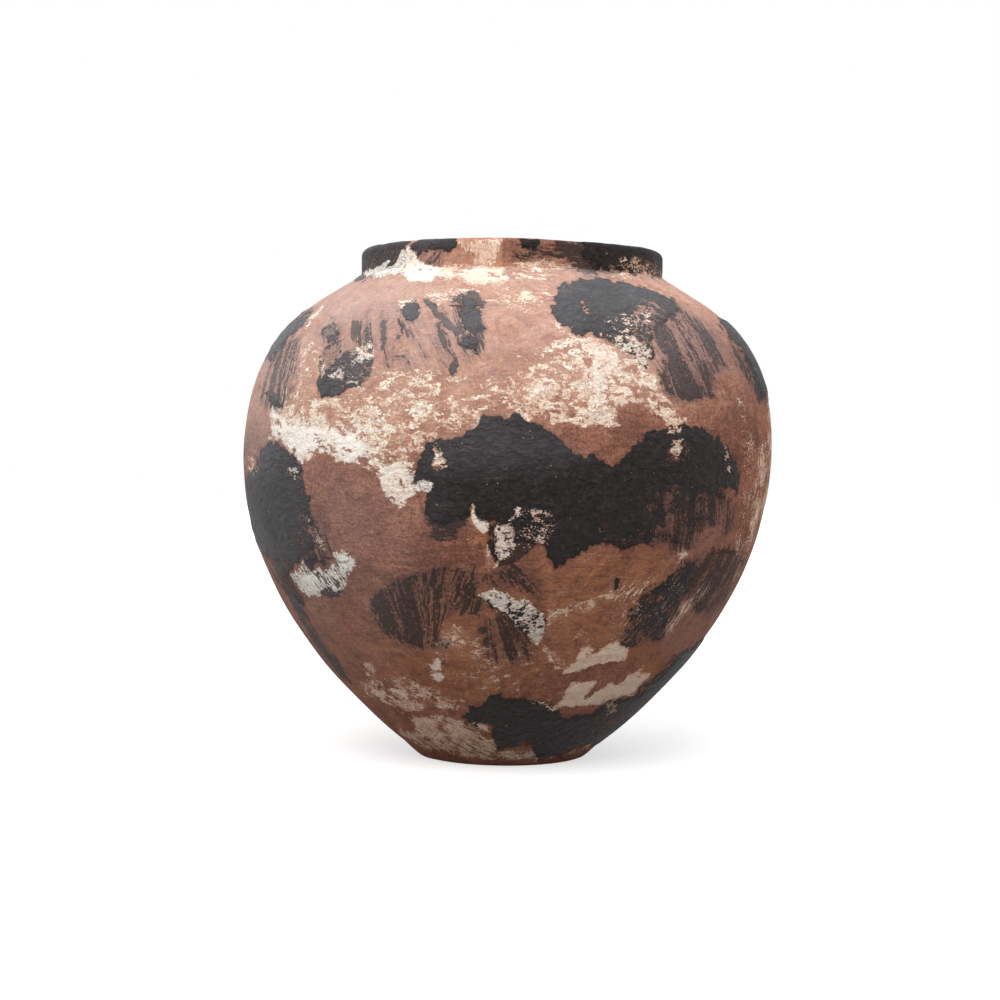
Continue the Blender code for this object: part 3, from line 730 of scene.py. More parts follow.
# Turns a closed profile of (radius, height, coat) rows into a skin, round the leaning middle line.
# Columns stand closer together on the side that shows. Where nothing is painted, coat is how dented a row is.
def turnedSkin(name, rows, node, columns, crowding=0.45, painted=True, dents=0.0, closed=True):
    rows = np.array(rows, float)
    line = rows[:, :2]
    before, after = np.roll(line, 1, 0), np.roll(line, -1, 0)
    if not closed:
        before[0], after[-1] = line[0], line[-1]
    along = after - before
    along /= np.maximum(np.linalg.norm(along, axis=1), tiny)[:, None]
    outward = np.stack([along[:, 1], -along[:, 0]], 1)
    onWall = np.abs(radiusAt(line[:, 1]) - line[:, 0]) < onLineWithin
    for side in (0, 1):
        outward[onWall, side] = np.interp(line[onWall, 1], wallLine[:, 1], wallOutward[:, side])
    share = np.arange(columns) / columns - 0.5
    angle = np.tile(2 * math.pi * share - crowding * np.sin(2 * math.pi * share), len(rows))
    radius, height, coat = np.repeat(rows, columns, 0).T
    sideways, upward = np.repeat(outward, columns, 0).T
    points = roundTheLine(radius, angle, height)
    ways = np.stack([sideways * np.sin(angle), -sideways * np.cos(angle), upward], 1)
    relief = sum(reach * waver(points, size, seed) for reach, size, seed in throwing)
    relief += dents * coat * sum(waver(points, size, seed) for size, seed in dentSizes)
    if painted:
        fields, build = finishAt(points, height, coat)
        relief += build * millimetre
    shaped = points + ways * relief[:, None]
    shaped[:, 2] = np.where(height < flatBelow, height, shaped[:, 2])
    count = len(rows)
    lower = np.arange(count if closed else count - 1)
    left = np.arange(columns)
    right = (left + 1) % columns
    low, high = lower[:, None] * columns, ((lower + 1) % count)[:, None] * columns
    faces = np.stack([(low + left).ravel(), (low + right).ravel(), (high + right).ravel(), (high + left).ravel()], 1)
    mesh = bpy.data.meshes.new(name)
    mesh.from_pydata(shaped.tolist(), [], faces.tolist())
    unwrap = mesh.uv_layers.new(name="OFBake")
    u = np.tile(left / columns, len(lower))
    v = np.repeat(lower / count, columns)
    stepU, stepV = 1 / columns, 1 / count
    corners = np.stack([u, v, u + stepU, v, u + stepU, v + stepV, u, v + stepV], 1)
    unwrap.data.foreach_set("uv", corners.ravel())
    if painted:
        for label, values in fields.items():
            layer = mesh.attributes.new(label, "FLOAT_VECTOR", "POINT")
            layer.data.foreach_set("vector", np.stack(values, 1).astype(np.float32).ravel())
    mesh.shade_smooth()
    mesh.set_sharp_from_angle(angle=math.radians(sharpAngle))
    piece = inScene(name, mesh)
    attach(piece, "root")
    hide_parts(node)
    print("turned", name, len(mesh.polygons), "faces")
    return piece


def coated(line, coat):
    line = np.array(line, float)
    return np.column_stack([line, np.full(len(line), coat)])


# The pieces: their profiles run up the outside and down the inside
skin = {"outerStep": 0.00133, "innerStep": 0.0062, "columns": 520, "coilColumns": 240}
lap = (wall["thickness"] + wall["slip"]) / 2
notch = (wall["thickness"] - wall["slip"]) / 2
behindSlip = wall["thickness"] + wall["slip"]
seamTop = wall["seamHeight"] + wall["lapHeight"]
wallFoot = wall["footHeight"] + wall["slip"]
tuck = {"inward": 0.001, "down": 0.0004}


def lowerWall():
    tucked = coated([(wall["footRadius"] - tuck["inward"], wall["footHeight"] - tuck["down"])], 1)
    outer = coated(wallStretch(0, wallFoot, wall["seamHeight"], skin["outerStep"]), 1)
    tongue = coated([insidePoint(lap, wall["seamHeight"]), insidePoint(lap, seamTop)], 0)
    inner = coated(wallStretch(wall["thickness"], wallFoot, seamTop, skin["innerStep"])[::-1], 0)
    return turnedSkin("lowerWallSkin", np.vstack([tucked, outer, tongue, inner]), "lower_wall", skin["columns"])


collar = {
    "radius": 0.0857,
    "neckRadius": 0.0757,
    "lipHeight": 0.2871,
    "outerRound": 0.0038,
    "innerRound": 0.002,
    "flare": 0.0007,
    "flareHeight": 0.0026,
    "fadeHeight": 0.008,
    "seatWidth": 0.002,
    "step": 0.0009,
}
shoulderSlope = math.tan(math.radians(wall["shoulderAngle"]))


def upperWall():
    radius, neck = collar["radius"], collar["neckRadius"]
    outer = coated(wallStretch(0, wall["seamHeight"], shoulderTop, skin["outerStep"]), 1)
    ledge = coated([(radius, shoulderTop)], 1)
    seat = coated([(radius - collar["seatWidth"], shoulderTop), (neck, shoulderTop)], 0)
    under = wallLine[-1] - wallOutward[-1] * wall["thickness"]
    edge = coated([(neck, under[1] + (under[0] - neck) * shoulderSlope)], 0)
    inner = coated(wallStretch(wall["thickness"], seamTop, under[1], skin["innerStep"])[::-1], 0)
    joint = coated([insidePoint(notch, seamTop), insidePoint(notch, wall["seamHeight"])], 0)
    rows = np.vstack([outer, ledge, seat, edge, inner, joint])
    return turnedSkin("upperWallSkin", rows, "upper_wall", skin["columns"])


def roundCorner(radius, height, size, start, end, count):
    turns = np.radians(np.linspace(start, end, count))
    return np.stack([radius + size * np.cos(turns), height + size * np.sin(turns)], 1)


def neckCollar():
    foot = shoulderTop + wall["slip"] / 3
    radius, neck, top, step = (collar[label] for label in ("radius", "neckRadius", "lipHeight", "step"))
    outerRound, innerRound = collar["outerRound"], collar["innerRound"]
    flare, flareHeight = collar["flare"], collar["flareHeight"]
    side = spaced([
        (radius + flare * 0.5, foot - flare), (radius + flare, foot),
        (radius + flare * 0.3, foot + flareHeight * 0.4), (radius, foot + flareHeight),
        (radius, top - outerRound - step)], step)
    lip = roundCorner(radius - outerRound, top - outerRound, outerRound, 0, 90, 9)
    flat = spaced([(radius - outerRound - step, top), (neck + innerRound + step, top)], step)
    innerLip = roundCorner(neck + innerRound, top - innerRound, innerRound, 90, 180, 5)
    inner = spaced([(neck, top - innerRound - step), (neck, foot)], step * 1.5)
    rows = coated(np.vstack([side, lip, flat, innerLip, inner]), 1)
    fade = eased(rows[:, 1], top - innerRound - collar["fadeHeight"], top - innerRound)
    rows[-len(inner):, 2] = fade[-len(inner):]
    return turnedSkin("neckCollarSkin", rows, "neck_collar", skin["columns"])


base = {"plugTop": 0.010, "footRound": 0.15, "handle": 0.6, "footRows": 12, "step": 0.0013, "wideStep": 0.004,
        "merge": 1e-6}


def baseSlab():
    step, wideStep, plugTop = base["step"], base["wideStep"], base["plugTop"]
    ledge = np.array((wall["footRadius"], wall["footHeight"]))
    flat = np.array((wall["footRadius"] - wall["footInset"], 0))
    corner = flat + (wall["footInset"] * base["footRound"], 0)
    handle = ledge + (corner - ledge) * base["handle"]
    plug = insidePoint(wall["thickness"], wallFoot)[0] - wall["slip"]
    rows = np.vstack([
        coated(spaced([(0, 0), flat - (step, 0)], wideStep), 0),
        coated(arc(flat, corner, handle, ledge, base["footRows"]), 1),
        coated(spaced([(plug, wall["footHeight"]), (plug, plugTop)], wideStep), 0),
        coated(spaced([(plug - step, plugTop), (0, plugTop)], wideStep), 0)])
    piece = turnedSkin("baseSlabSkin", rows, "base_slab", skin["columns"], closed=False)
    work = bmesh.new()
    work.from_mesh(piece.data)
    bmesh.ops.remove_doubles(work, verts=work.verts, dist=base["merge"])
    work.to_mesh(piece.data)
    work.free()
    return piece


# Soft clay smeared over the joints inside, with the dents of fingers
coil = {"reach": 0.010, "rise": 0.010, "edge": 0.001, "hollow": 0.35, "bandLow": 0.153, "bandHigh": 0.175,
        "bandBulge": 0.0035, "neckRise": 0.004, "neckDrop": 0.007, "neckBulge": 0.003, "step": 0.0025,
        "rows": 16, "dents": 0.00035}


def smearedCoil(name, node, wallSide, highEdge, handles, lowEdge, rest=()):
    face = np.vstack([arc(highEdge, *handles, lowEdge, coil["rows"]), *rest])
    rows = np.vstack([coated(wallSide, 0), coated(face, 1)])
    return turnedSkin(name, rows, node, skin["coilColumns"], 0.0, painted=False, dents=coil["dents"])


def baseSeamCoil():
    floor = base["plugTop"] + wall["slip"]
    wallSide = wallStretch(behindSlip, floor, floor + coil["rise"], coil["step"])
    corner = wallSide[0]
    floorEdge = corner - (coil["reach"], 0)
    lowEdge = floorEdge + (0, coil["edge"])
    highEdge = wallSide[-1] - (coil["edge"], 0)
    handle = (lowEdge + highEdge) / 2 * (1 - coil["hollow"]) + corner * coil["hollow"]
    return smearedCoil("baseSeamSmear", "base_seam_coil", wallSide, highEdge, (handle, handle), lowEdge, [floorEdge])


def bellySeamCoil():
    wallSide = wallStretch(behindSlip, coil["bandLow"], coil["bandHigh"], coil["step"])
    low, high = wallSide[0], wallSide[-1]
    third = (high - low) / 3
    edge, bulge = np.array((coil["edge"], 0)), np.array((coil["bandBulge"], 0))
    handles = (high - third - bulge, low + third - bulge)
    return smearedCoil("bellySeamSmear", "belly_seam_coil", wallSide, high - edge, handles, low - edge)


def neckSeamCoil():
    bore = collar["neckRadius"] - wall["slip"]
    dome = wallLine[-1] - wallOutward[-1] * behindSlip
    corner = np.array((bore, dome[1] + (dome[0] - bore) * shoulderSlope))
    low = np.array(insidePoint(behindSlip, corner[1] - coil["neckDrop"]))
    high = np.array((bore, shoulderTop + coil["neckRise"]))
    lowEdge = low - (0, coil["edge"])
    handle = np.array((bore - coil["neckBulge"], lowEdge[1]))
    wallSide = np.vstack([spaced([low, corner], coil["step"]), spaced([corner, high], coil["step"])[1:]])
    return smearedCoil(
        "neckSeamSmear", "neck_seam_coil", wallSide, high - (coil["edge"], 0), (handle, handle), lowEdge)


# The node tree that is being filled. The helpers below add to it and give back what the new node puts out.
building = {"tree": None}


def place(kind, inputs=None, **options):
    tree = building["tree"]
    made = tree.nodes.new(kind)
    for label, value in options.items():
        setattr(made, label, value)
    for label, value in (inputs or {}).items():
        socket = made.inputs[label]
        if isinstance(value, bpy.types.NodeSocket):
            tree.links.new(value, socket)
        elif socket.type == "RGBA":
            socket.default_value = (*value, 1)
        else:
            socket.default_value = value
    return made.outputs


def blendColour(share, under, over, mode="MIX"):
    return place("ShaderNodeMix", {0: share, 6: under, 7: over}, data_type="RGBA", blend_type=mode)[2]


def blendValue(share, under, over):
    return place("ShaderNodeMix", {0: share, 2: under, 3: over}, data_type="FLOAT")[0]


def reckon(operation, a, b=0.0, clamp=False):
    return place("ShaderNodeMath", {0: a, 1: b}, operation=operation, use_clamp=clamp)[0]


def times(a, b, clamp=False):
    return reckon("MULTIPLY", a, b, clamp)


def plus(a, b, clamp=False):
    return reckon("ADD", a, b, clamp)


def minus(a, b):
    return reckon("SUBTRACT", a, b)


def most(a, b):
    return reckon("MAXIMUM", a, b)


# A value that lies round one half, made to swing round zero
def swing(value, reach):
    return times(minus(value, 0.5), reach)


# Thin lines where a value passes one half
def creased(value):
    return reckon("ABSOLUTE", minus(value, 0.5))


def between(value, low, high, first=0.0, last=1.0):
    spots = {"Value": value, "From Min": low, "From Max": high, "To Min": first, "To Max": last}
    return place("ShaderNodeMapRange", spots, interpolation_type="SMOOTHSTEP")[0]


def cloud(where, scale, detail=3.0, rough=0.55, bend=0.0):
    spots = {"Vector": where, "Scale": scale, "Detail": detail, "Roughness": rough, "Distortion": bend}
    return place("ShaderNodeTexNoise", spots)[0]


# Places pressed together upward, so that what is drawn at them lies flatter
def flattened(where, amount):
    return place("ShaderNodeVectorMath", {0: where, 1: (1.0, 1.0, amount)}, operation="MULTIPLY")[0]


def apart(vector):
    return place("ShaderNodeSeparateXYZ", {0: vector})


def lane(across, along):
    return place("ShaderNodeCombineXYZ", {0: across, 1: along})[0]


def useGroup(group, **inputs):
    return place("ShaderNodeGroup", inputs, node_tree=group)


def link(value, socket):
    building["tree"].links.new(value, socket)


def openGroup(name, **inputs):
    building["tree"] = tree = bpy.data.node_groups.new(name, "ShaderNodeTree")
    for label, default in inputs.items():
        colour = isinstance(default, tuple)
        kind = "Vector" if default is None else "Color" if colour else "Float"
        socket = tree.interface.new_socket(label, in_out="INPUT", socket_type="NodeSocket" + kind)
        if default is not None:
            socket.default_value = (*default, 1) if colour else default
    given = tree.nodes.new("NodeGroupInput").outputs
    return [given[label] for label in inputs]


def closeGroup(**outputs):
    tree = building["tree"]
    for label, value in outputs.items():
        kind = "Color" if value.type == "RGBA" else "Float"
        tree.interface.new_socket(label, in_out="OUTPUT", socket_type="NodeSocket" + kind)
    result = tree.nodes.new("NodeGroupOutput").inputs
    for label, value in outputs.items():
        link(value, result[label])
    return tree


# A torn, crumbling edge of paint from the depth in pixels inside its outline
def raggedEdgeGroup():
    depth, where, reach, scale, crumble, crispness = openGroup(
        "raggedEdge", Depth=0.0, Where=None, Reach=14.0, Scale=200.0, Crumble=5.0, Crispness=0.6)
    tear = swing(cloud(where, scale, 4.0, 0.55, 0.3), reach)
    crumbs = swing(cloud(where, 640.0, 3.0, 0.6), crumble)
    depth = plus(depth, plus(tear, crumbs))
    return closeGroup(Mask=between(depth, times(crispness, -1.0), crispness), Depth=depth)


# Broken marks of a sponge, or of a dragged sponge where Drag is high. Cover is how much is marked, Grit how much
# the finest crumbs count, Flake the fineness of the plates that hold or shed together. Wash is the thin colour
# round the marks, Lift how thickly they lie, Lace their torn lines, Tone a value for each plate.
def spongeMarksGroup():
    cover, drag, where, across, along, scale, fine, grit, flake = openGroup(
        "spongeMarks", Cover=0.5, Drag=0.0, Where=None, Across=0.0, Along=0.0, Scale=170.0, Fine=700.0, Grit=0.20,
        Flake=215.0)
    squat = flattened(where, 1.5)
    dabbed = cloud(squat, scale, 5.0, 0.64, 0.6)
    dragged = cloud(lane(times(across, 0.40), times(along, 0.055)), 1.0, 4.0, 0.65, 0.15)
    crumbs = cloud(squat, fine, 2.0, 0.6)
    broad = cloud(squat, times(scale, 0.32), 2.0, 0.5)
    gritty = times(grit, between(cover, 0.28, 0.56, 2.1, 1.0))
    mark = blendValue(gritty, blendValue(drag, dabbed, dragged), crumbs)
    bend = place("ShaderNodeTexNoise", {"Vector": squat, "Scale": 260.0, "Detail": 3.0})["Color"]
    bent = place("ShaderNodeVectorMath", {0: bend, 1: (0.011, 0.011, 0.011), 2: squat}, operation="MULTIPLY_ADD")[0]
    plate = apart(place("ShaderNodeTexVoronoi", {"Vector": bent, "Scale": flake})["Color"])
    hold = times(swing(plate[0], blendValue(drag, 0.17, 0.04)), between(cover, 0.28, 0.56, 0.4, 1.0))
    mark = plus(plus(mark, swing(broad, 0.32)), hold)
    over = minus(mark, minus(0.72, times(cover, 0.44)))
    some = between(cover, 0.02, 0.12)
    torn = creased(cloud(squat, times(fine, 0.48), 3.0, 0.6, 0.8))
    return closeGroup(
        Mask=times(between(over, -0.006, 0.006), some),
        Wash=times(between(over, -0.09, 0.0), some),
        Lift=between(over, 0.0, 0.115),
        Lace=times(between(torn, 0.010, 0.034, 1.0, 0.0), between(cover, 0.62, 0.80, 1.0, 0.15)),
        Tone=plate[1])


# Fine hairs of a nearly dry brush or comb, gathered in tufts, over a thin film of their colour
def dryStrokesGroup():
    cover, where, across, along, width, length = openGroup(
        "dryStrokes", Cover=0.5, Where=None, Across=0.0, Along=0.0, Width=2.2, Length=24.0)
    swayed = plus(across, swing(cloud(where, 45.0, 3.0), 9.0))
    stroke = lane(reckon("DIVIDE", swayed, width), reckon("DIVIDE", along, length))
    mark = blendValue(0.58, cloud(stroke, 1.0, 2.0, 0.6), cloud(stroke, 0.20, 3.0, 0.6))
    mark = blendValue(0.27, mark, cloud(where, 620.0, 3.0, 0.65))
    over = minus(mark, minus(0.64, times(cover, 0.28)))
    some = between(cover, 0.02, 0.15)
    return closeGroup(
        Mask=times(between(over, -0.014, 0.024), some), Film=times(between(over, -0.15, 0.02), some))


# Thrown clay: slow swellings, tool drag and fine grit. Height in millimetres, Shade round one half.
def clayGrainGroup():
    where, coarseness = openGroup("clayGrain", Where=None, Coarseness=1.0)
    swell = cloud(where, 70.0, 3.0, 0.5)
    drawn = cloud(flattened(where, 2.2), 120.0, 4.0, 0.5, 0.5)
    grit = cloud(where, 650.0, 2.0, 0.5)
    dust = cloud(where, 380.0, 5.0, 0.68)
    height = plus(plus(times(swell, 0.8), times(drawn, 1.3)), times(times(grit, 0.34), coarseness))
    # Partly painted shade: mostly a random fine tone, partly the tool drag relief, paler on ridges, darker in
    # hollows
    return closeGroup(Height=height, Shade=blendValue(0.75, drawn, dust))


# Thick paint that dried knobbly and creased
def thickPaintGroup():
    where, scale = openGroup("thickPaint", Where=None, Scale=190.0)
    bent = cloud(flattened(where, 1.7), scale, 4.0, 0.55, 0.4)
    lumps = cloud(where, 520.0, 3.0, 0.5)
    ridge = between(creased(bent), 0.0, 0.035)
    height = plus(plus(times(ridge, 0.30), times(bent, 4.6)), lumps)
    # Painted shade: the shade value follows the relief, paler on the lumps and darker in the hollows
    return closeGroup(Height=height, Shade=blendValue(0.5, bent, lumps))


# Painted sheen: a chalky paling towards bluish grey of the surfaces that face up
def chalkBloomGroup():
    colour, paintedSheen, chalk, where = openGroup(
        "chalkBloom", Color=(0.5, 0.5, 0.5), Bloom=0.0, Chalk=(0.53, 0.53, 0.565), Where=None)
    uneven = between(cloud(where, 40.0, 4.0), 0.3, 0.7, 0.8, 1.15)
    return closeGroup(Color=blendColour(times(paintedSheen, uneven, True), colour, chalk))


# Rings that the fingers leave inside a thrown wall
def throwingRingsGroup():
    where, = openGroup("throwingRings", Where=None)
    turn = plus(times(apart(where)[2], 900.0), times(cloud(where, 14.0, 3.0), 9.0))
    return closeGroup(Height=times(reckon("SINE", turn), 0.5))


raggedEdge, spongeMarks, dryStrokes = raggedEdgeGroup(), spongeMarksGroup(), dryStrokesGroup()
clayGrain, thickPaint = clayGrainGroup(), thickPaintGroup()
chalkBloom, throwingRings = chalkBloomGroup(), throwingRingsGroup()
print("node groups ready")

# Colours and measures of the finish
finish = {
    "rust": (0.320, 0.135, 0.088),
    "rustDeep": (0.225, 0.092, 0.062),
    "umber": (0.165, 0.070, 0.047),
    "tan": (0.430, 0.215, 0.130),
    "salmon": (0.610, 0.320, 0.210),
    "salmonDeep": (0.480, 0.220, 0.140),
    "mauve": (0.330, 0.180, 0.155),
    "orange": (0.425, 0.172, 0.080),
    "wash": (0.660, 0.400, 0.285),
    "peach": (0.700, 0.410, 0.285),
    "pink": (0.810, 0.538, 0.402),
    "cream": (0.930, 0.725, 0.545),
    "creamHigh": (1.000, 0.910, 0.770),
    "chalk": (0.990, 0.970, 0.905),
    "film": (0.090, 0.066, 0.062),
    "black": (0.024, 0.020, 0.020),
    "blackWorn": (0.043, 0.033, 0.030),
    "bare": (0.420, 0.200, 0.125),
    "bareDark": (0.310, 0.140, 0.088),
    "specular": 0.10,
}


def openMaterial(name):
    material = bpy.data.materials.new(name)
    material.use_nodes = True
    building["tree"] = material.node_tree
    shader = material.node_tree.nodes["Principled BSDF"].inputs
    shader["Specular IOR Level"].default_value = finish["specular"]
    return material, shader, place("ShaderNodeTexCoord")["Object"]


def closeMaterial(material, shader, colour, rough, height, strength):
    bump = place("ShaderNodeBump", {"Height": height, "Distance": millimetre, "Strength": strength})[0]
    for value, label in ((colour, "Base Color"), (rough, "Roughness"), (bump, "Normal")):
        link(value, shader[label])
    return material


def tinted(colour, value, low, high):
    light = between(value, 0.3, 0.7, low, high)
    grey = place("ShaderNodeCombineXYZ", {0: light, 1: light, 2: light})[0]
    return blendColour(1.0, colour, grey, "MULTIPLY")


# One colour laid over another, where the top one can be a name in the finish
def laid(colour, share, top):
    return blendColour(share, colour, finish[top] if isinstance(top, str) else top)


def bareClayParts(where):
    grain = useGroup(clayGrain, Where=where, Coarseness=1.3)
    colour = laid(finish["bare"], between(cloud(where, 22.0, 5.0), 0.35, 0.65), "bareDark")
    height = plus(grain["Height"], useGroup(throwingRings, Where=where)["Height"])
    # The grain's tone darkens the clay, partly as painted shade in the hollows of the tool drag
    return tinted(colour, grain["Shade"], 0.75, 1.25), height


def bareClay(name):
    material, shader, where = openMaterial(name)
    colour, height = bareClayParts(where)
    rough = between(cloud(where, 300.0, 2.0), 0.3, 0.7, 0.84, 0.96)
    return closeMaterial(material, shader, colour, rough, height, 0.8)


def readField(label):
    return apart(place("ShaderNodeAttribute", None, attribute_name=label, attribute_type="GEOMETRY")["Vector"])


def paintedClay(name):
    material, shader, where = openMaterial(name)
    blackDepth, brownDepth, drag = readField("paintEdges")
    under, over, dry = readField("paintCover")
    across, along, white = readField("stroke")
    salmon, mauve, orange = readField("stain")
    paintedSheen, coat, wear = readField("surface")
    grain = useGroup(clayGrain, Where=where)
    film = useGroup(thickPaint, Where=where)
    follow = {"Where": where, "Across": across, "Along": along}
    mottle = cloud(where, 30.0, 5.0, 0.6)
    marble = cloud(where, 85.0, 6.0, 0.62, 1.4)
    flow = cloud(where, 38.0, 4.0, 0.6, 2.4)
    speck = cloud(where, 240.0, 5.0, 0.65)
    pepper = cloud(where, 860.0, 2.0, 0.6)

    # The stain, with smeared swirls, fine pepper, and the grain's tone, which is partly painted shade in its hollows
    rust = laid(finish["rust"], between(mottle, 0.42, 0.66), "rustDeep")
    rust = laid(rust, between(flow, 0.47, 0.37, 0.0, 0.55), "umber")
    rust = laid(rust, between(flow, 0.53, 0.63, 0.0, 0.40), "tan")
    rust = tinted(tinted(rust, grain["Shade"], 0.80, 1.20), pepper, 0.72, 1.28)
    pale = laid(finish["salmonDeep"], between(marble, 0.34, 0.66), "salmon")
    pale = laid(pale, between(flow, 0.50, 0.60, 0.0, 0.30), "wash")
    pale = laid(pale, between(flow, 0.44, 0.36, 0.0, 0.45), "rust")
    pale = tinted(tinted(pale, grain["Shade"], 0.82, 1.16), pepper, 0.84, 1.16)
    colour = laid(rust, plus(salmon, times(swing(speck, 1.5), salmon), True), pale)
    colour = laid(colour, times(mauve, between(speck, 0.34, 0.62)), "mauve")
    colour = laid(colour, times(orange, between(marble, 0.38, 0.64)), "orange")

    # Cream sponged under the rest: a thin wash, a darker edge, and marks that go from peach to cream and chalk
    tint = between(marble, 0.42, 0.58)
    chalkShare = times(times(white, between(tint, 0.0, 1.0, 0.7, 1.0)), 0.85)
    # Creams turn pinker with the marble tint, and more where the painted sheen is weak, lower down
    pinkShare = most(times(tint, between(paintedSheen, 0.0, 0.15, 0.85, 0.45)), between(paintedSheen, 0.0, 0.10, 0.62, 0.0))

    def creamOf(marks):
        lift = plus(marks["Lift"], between(marks["Tone"], 0.1, 0.9, -0.42, 0.34))
        cream = laid(finish["peach"], between(lift, 0.0, 0.55), "cream")
        cream = laid(cream, between(lift, 0.45, 0.95), "creamHigh")
        cream = laid(laid(cream, pinkShare, "pink"), chalkShare, "chalk")
        return tinted(cream, pepper, 0.90, 1.10)

    def tornBy(marks, strength):
        return times(marks["Mask"], minus(1.0, times(marks["Lace"], strength)))

    sponged = useGroup(spongeMarks, Cover=under, Drag=drag, **follow)
    # The darker edge round the sponged marks is pooled stain and painted shade at their raised edges
    pooledStainAndShadeEdge = times(sponged["Wash"], between(sponged["Wash"], 0.5, 1.0))
    colour = laid(colour, times(sponged["Wash"], between(flow, 0.44, 0.56, 0.10, 0.55)), "wash")
    colour = laid(colour, times(pooledStainAndShadeEdge, 0.72), "rust")
    underMask = tornBy(sponged, blendValue(white, 0.85, 0.30))
    colour = laid(colour, underMask, creamOf(sponged))

    # Brown skins over it, with fine level scratches
    skinMask = useGroup(raggedEdge, Depth=brownDepth, Where=where, Reach=8.0, Scale=280.0, Crumble=4.0)["Mask"]
    scratches = between(cloud(flattened(where, 13.0), 90.0, 4.0, 0.7), 0.61, 0.70)
    colour = laid(laid(colour, skinMask, rust), times(scratches, 0.26), "wash")

    # Black: dry strokes, thick daubs that are worn through in places, and dabs of cream on top
    black = laid(finish["black"], between(speck, 0.42, 0.72), "blackWorn")
    dryMarks = useGroup(dryStrokes, Cover=dry, **follow)
    colour = laid(colour, times(dryMarks["Film"], 0.58), "film")
    colour = laid(colour, times(dryMarks["Mask"], 0.76), black)
    daub = useGroup(raggedEdge, Depth=blackDepth, Where=where, Scale=230.0, Crumble=3.8)
    worn = useGroup(spongeMarks, Cover=wear, Drag=drag, Scale=200.0, Grit=0.24, Flake=300.0, **follow)["Mask"]
    colour = laid(colour, times(between(daub["Depth"], -4.0, 0.5), 0.40), "blackWorn")
    daubMask = times(daub["Mask"], minus(1.0, worn))
    # The black takes painted shade from its relief: paler on the lumps, darker in the hollows
    colour = laid(colour, daubMask, tinted(black, film["Shade"], 0.62, 1.42))
    chips = between(cloud(where, 640.0, 3.0, 0.6), 0.705, 0.718)
    pits = between(cloud(where, 700.0, 3.0, 0.6), 0.29, 0.27)
    colour = laid(colour, times(chips, between(flow, 0.50, 0.58)), "cream")
    colour = laid(colour, times(pits, 0.7), "blackWorn")
    dabs = useGroup(spongeMarks, Cover=over, Drag=drag, Scale=250.0, Fine=760.0, Grit=0.30, Flake=360.0, **follow)
    dabMask = tornBy(dabs, 0.45)
    colour = laid(colour, dabMask, creamOf(dabs))
    marks = most(times(underMask, minus(1.0, daubMask)), dabMask)
    # Painted sheen: the upper surfaces pale towards bluish grey, less where cream marks lie
    paintedSheenVeil = times(paintedSheen, blendValue(marks, 1.0, 0.45))
    colour = useGroup(chalkBloom, Color=colour, Bloom=paintedSheenVeil, Where=where)["Color"]

    # Bare clay where the coat ends
    bare, bareHeight = bareClayParts(where)
    coated = between(plus(coat, swing(speck, 0.9)), 0.46, 0.54)
    colour = laid(bare, coated, colour)

    # Relief in millimetres, and how dull it is
    paint = most(daubMask, times(dryMarks["Mask"], 0.4))
    height = times(grain["Height"], minus(1.0, times(paint, 0.6)))
    height = plus(plus(height, times(marks, 0.10)), times(skinMask, 0.16))
    height = plus(height, times(paint, plus(film["Height"], 0.2)))
    rough = blendValue(marks, blendValue(paint, 0.88, 0.58), 0.94)
    rough = plus(rough, swing(speck, 0.25), True)
    return closeMaterial(material, shader, colour, rough, blendValue(coated, bareHeight, height), 0.85)


lookOf = {
    lowerWall: paintedClay("paintedLowerWall"),
    upperWall: paintedClay("paintedUpperWall"),
    neckCollar: paintedClay("paintedCollar"),
    baseSlab: paintedClay("paintedBase"),
    baseSeamCoil: bareClay("bareBaseSmear"),
    bellySeamCoil: bareClay("bareBellySmear"),
    neckSeamCoil: bareClay("bareNeckSmear"),
}
for make, material in lookOf.items():
    make().data.materials.append(material)
print("jar finished")

# Plain pale studio: a soft dome that is brighter overhead, and one broad lamp in front
studio = {
    "domeHigh": 1.15,
    "domeLow": 0.30,
    "domeFrom": -0.05,
    "domeTo": 0.9,
    "lampStrength": 1.9,
    "lampSize": 42.0,
    "lampElevation": 52.0,
    "lampTurn": -14.0,
    "floorSize": 8.0,
    "floorBounce": 0.30,
    "floorPale": 0.55,
    "floorGlow": 0.62,
    "clipEnd": 50,
}


def seenDirectly():
    path = place("ShaderNodeLightPath")
    return most(most(path["Is Camera Ray"], path["Is Glossy Ray"]), path["Is Transmission Ray"])


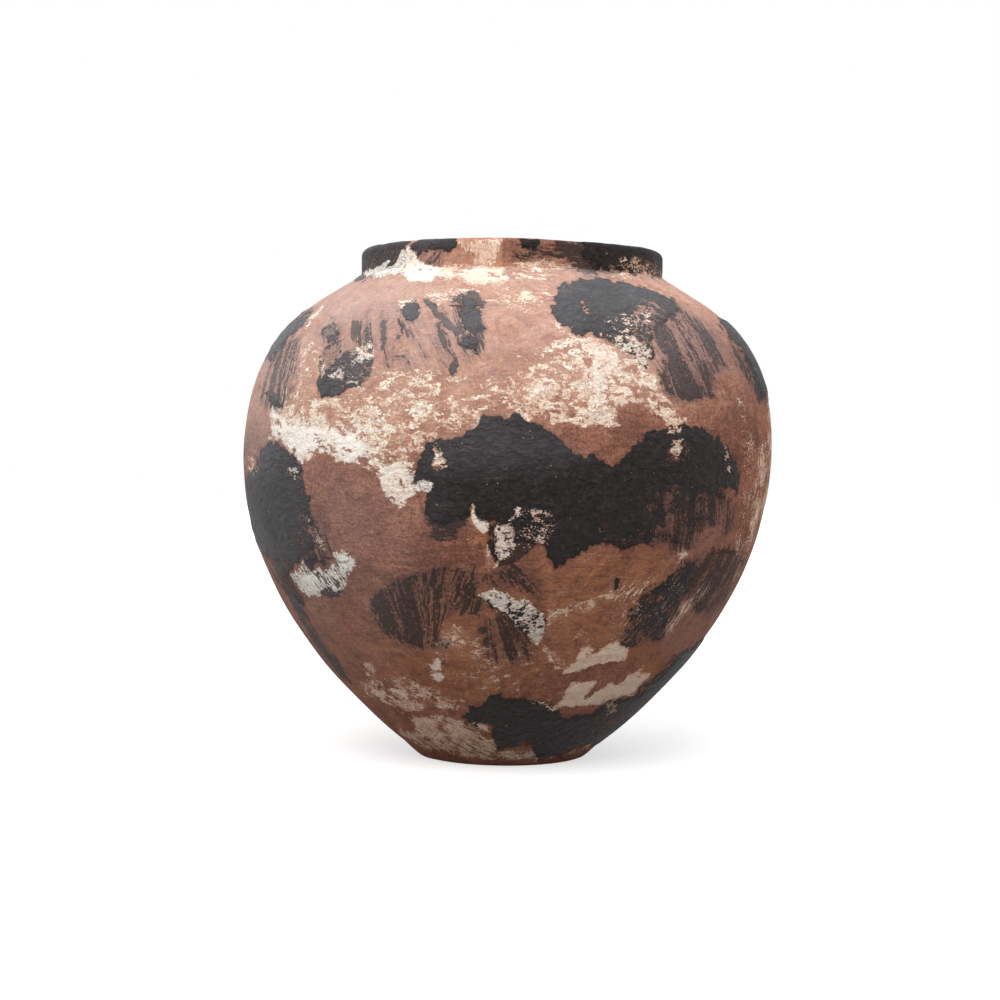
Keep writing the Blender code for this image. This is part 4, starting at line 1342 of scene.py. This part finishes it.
def makeDome():
    world = bpy.data.worlds.new("studioDome")
    bpy.context.scene.world = world
    world.use_nodes = True
    building["tree"] = world.node_tree
    background = world.node_tree.nodes["Background"].inputs
    level = apart(place("ShaderNodeTexCoord")["Generated"])[2]
    dome = between(level, studio["domeFrom"], studio["domeTo"], studio["domeLow"], studio["domeHigh"])
    background["Color"].default_value = (1, 1, 1, 1)
    link(blendValue(seenDirectly(), dome, 1.0), background["Strength"])


def makeLamp():
    lamp = bpy.data.lights.new("broadLamp", "SUN")
    lamp.energy = studio["lampStrength"]
    lamp.angle = math.radians(studio["lampSize"])
    tilt = math.radians(90 - studio["lampElevation"])
    inScene("broadLamp", lamp).rotation_euler = Euler((tilt, 0, math.radians(studio["lampTurn"])))


def makeFloor():
    half = studio["floorSize"] / 2
    corners = [(-half, -half, 0), (half, -half, 0), (half, half, 0), (-half, half, 0)]
    mesh = bpy.data.meshes.new("studioFloor")
    mesh.from_pydata(corners, [], [(0, 1, 2, 3)])
    floor = inScene("studioFloor", mesh)
    material = bpy.data.materials.new("paleFloor")
    material.use_nodes = True
    building["tree"] = material.node_tree
    material.node_tree.nodes.clear()
    quiet, lit = (
        place("ShaderNodeBsdfDiffuse", {"Color": [studio[grey]] * 3})[0] for grey in ("floorBounce", "floorPale"))
    glow = place("ShaderNodeEmission", {"Strength": studio["floorGlow"]})[0]
    shown = place("ShaderNodeAddShader", {0: lit, 1: glow})[0]
    mixed = place("ShaderNodeMixShader", {0: seenDirectly(), 1: quiet, 2: shown})[0]
    place("ShaderNodeOutputMaterial", {"Surface": mixed})
    mesh.materials.append(material)


def makeCamera():
    lens = bpy.data.cameras.new("photoCamera")
    lens.lens = view["lens"]
    lens.sensor_width = view["sensor"]
    lens.clip_end = studio["clipEnd"]
    camera = inScene("photoCamera", lens)
    aim = Euler((math.radians(90 - view["pitch"]), 0, 0)).to_matrix()
    roll = Matrix.Rotation(math.radians(view["roll"]), 3, "Z")
    camera.matrix_world = (aim @ roll).to_4x4()
    camera.location = (view["across"], -view["distance"], view["height"])
    bpy.context.scene.camera = camera


makeDome()
makeLamp()
makeFloor()
makeCamera()
bpy.context.scene.view_settings.view_transform = "Standard"
print("studio ready")
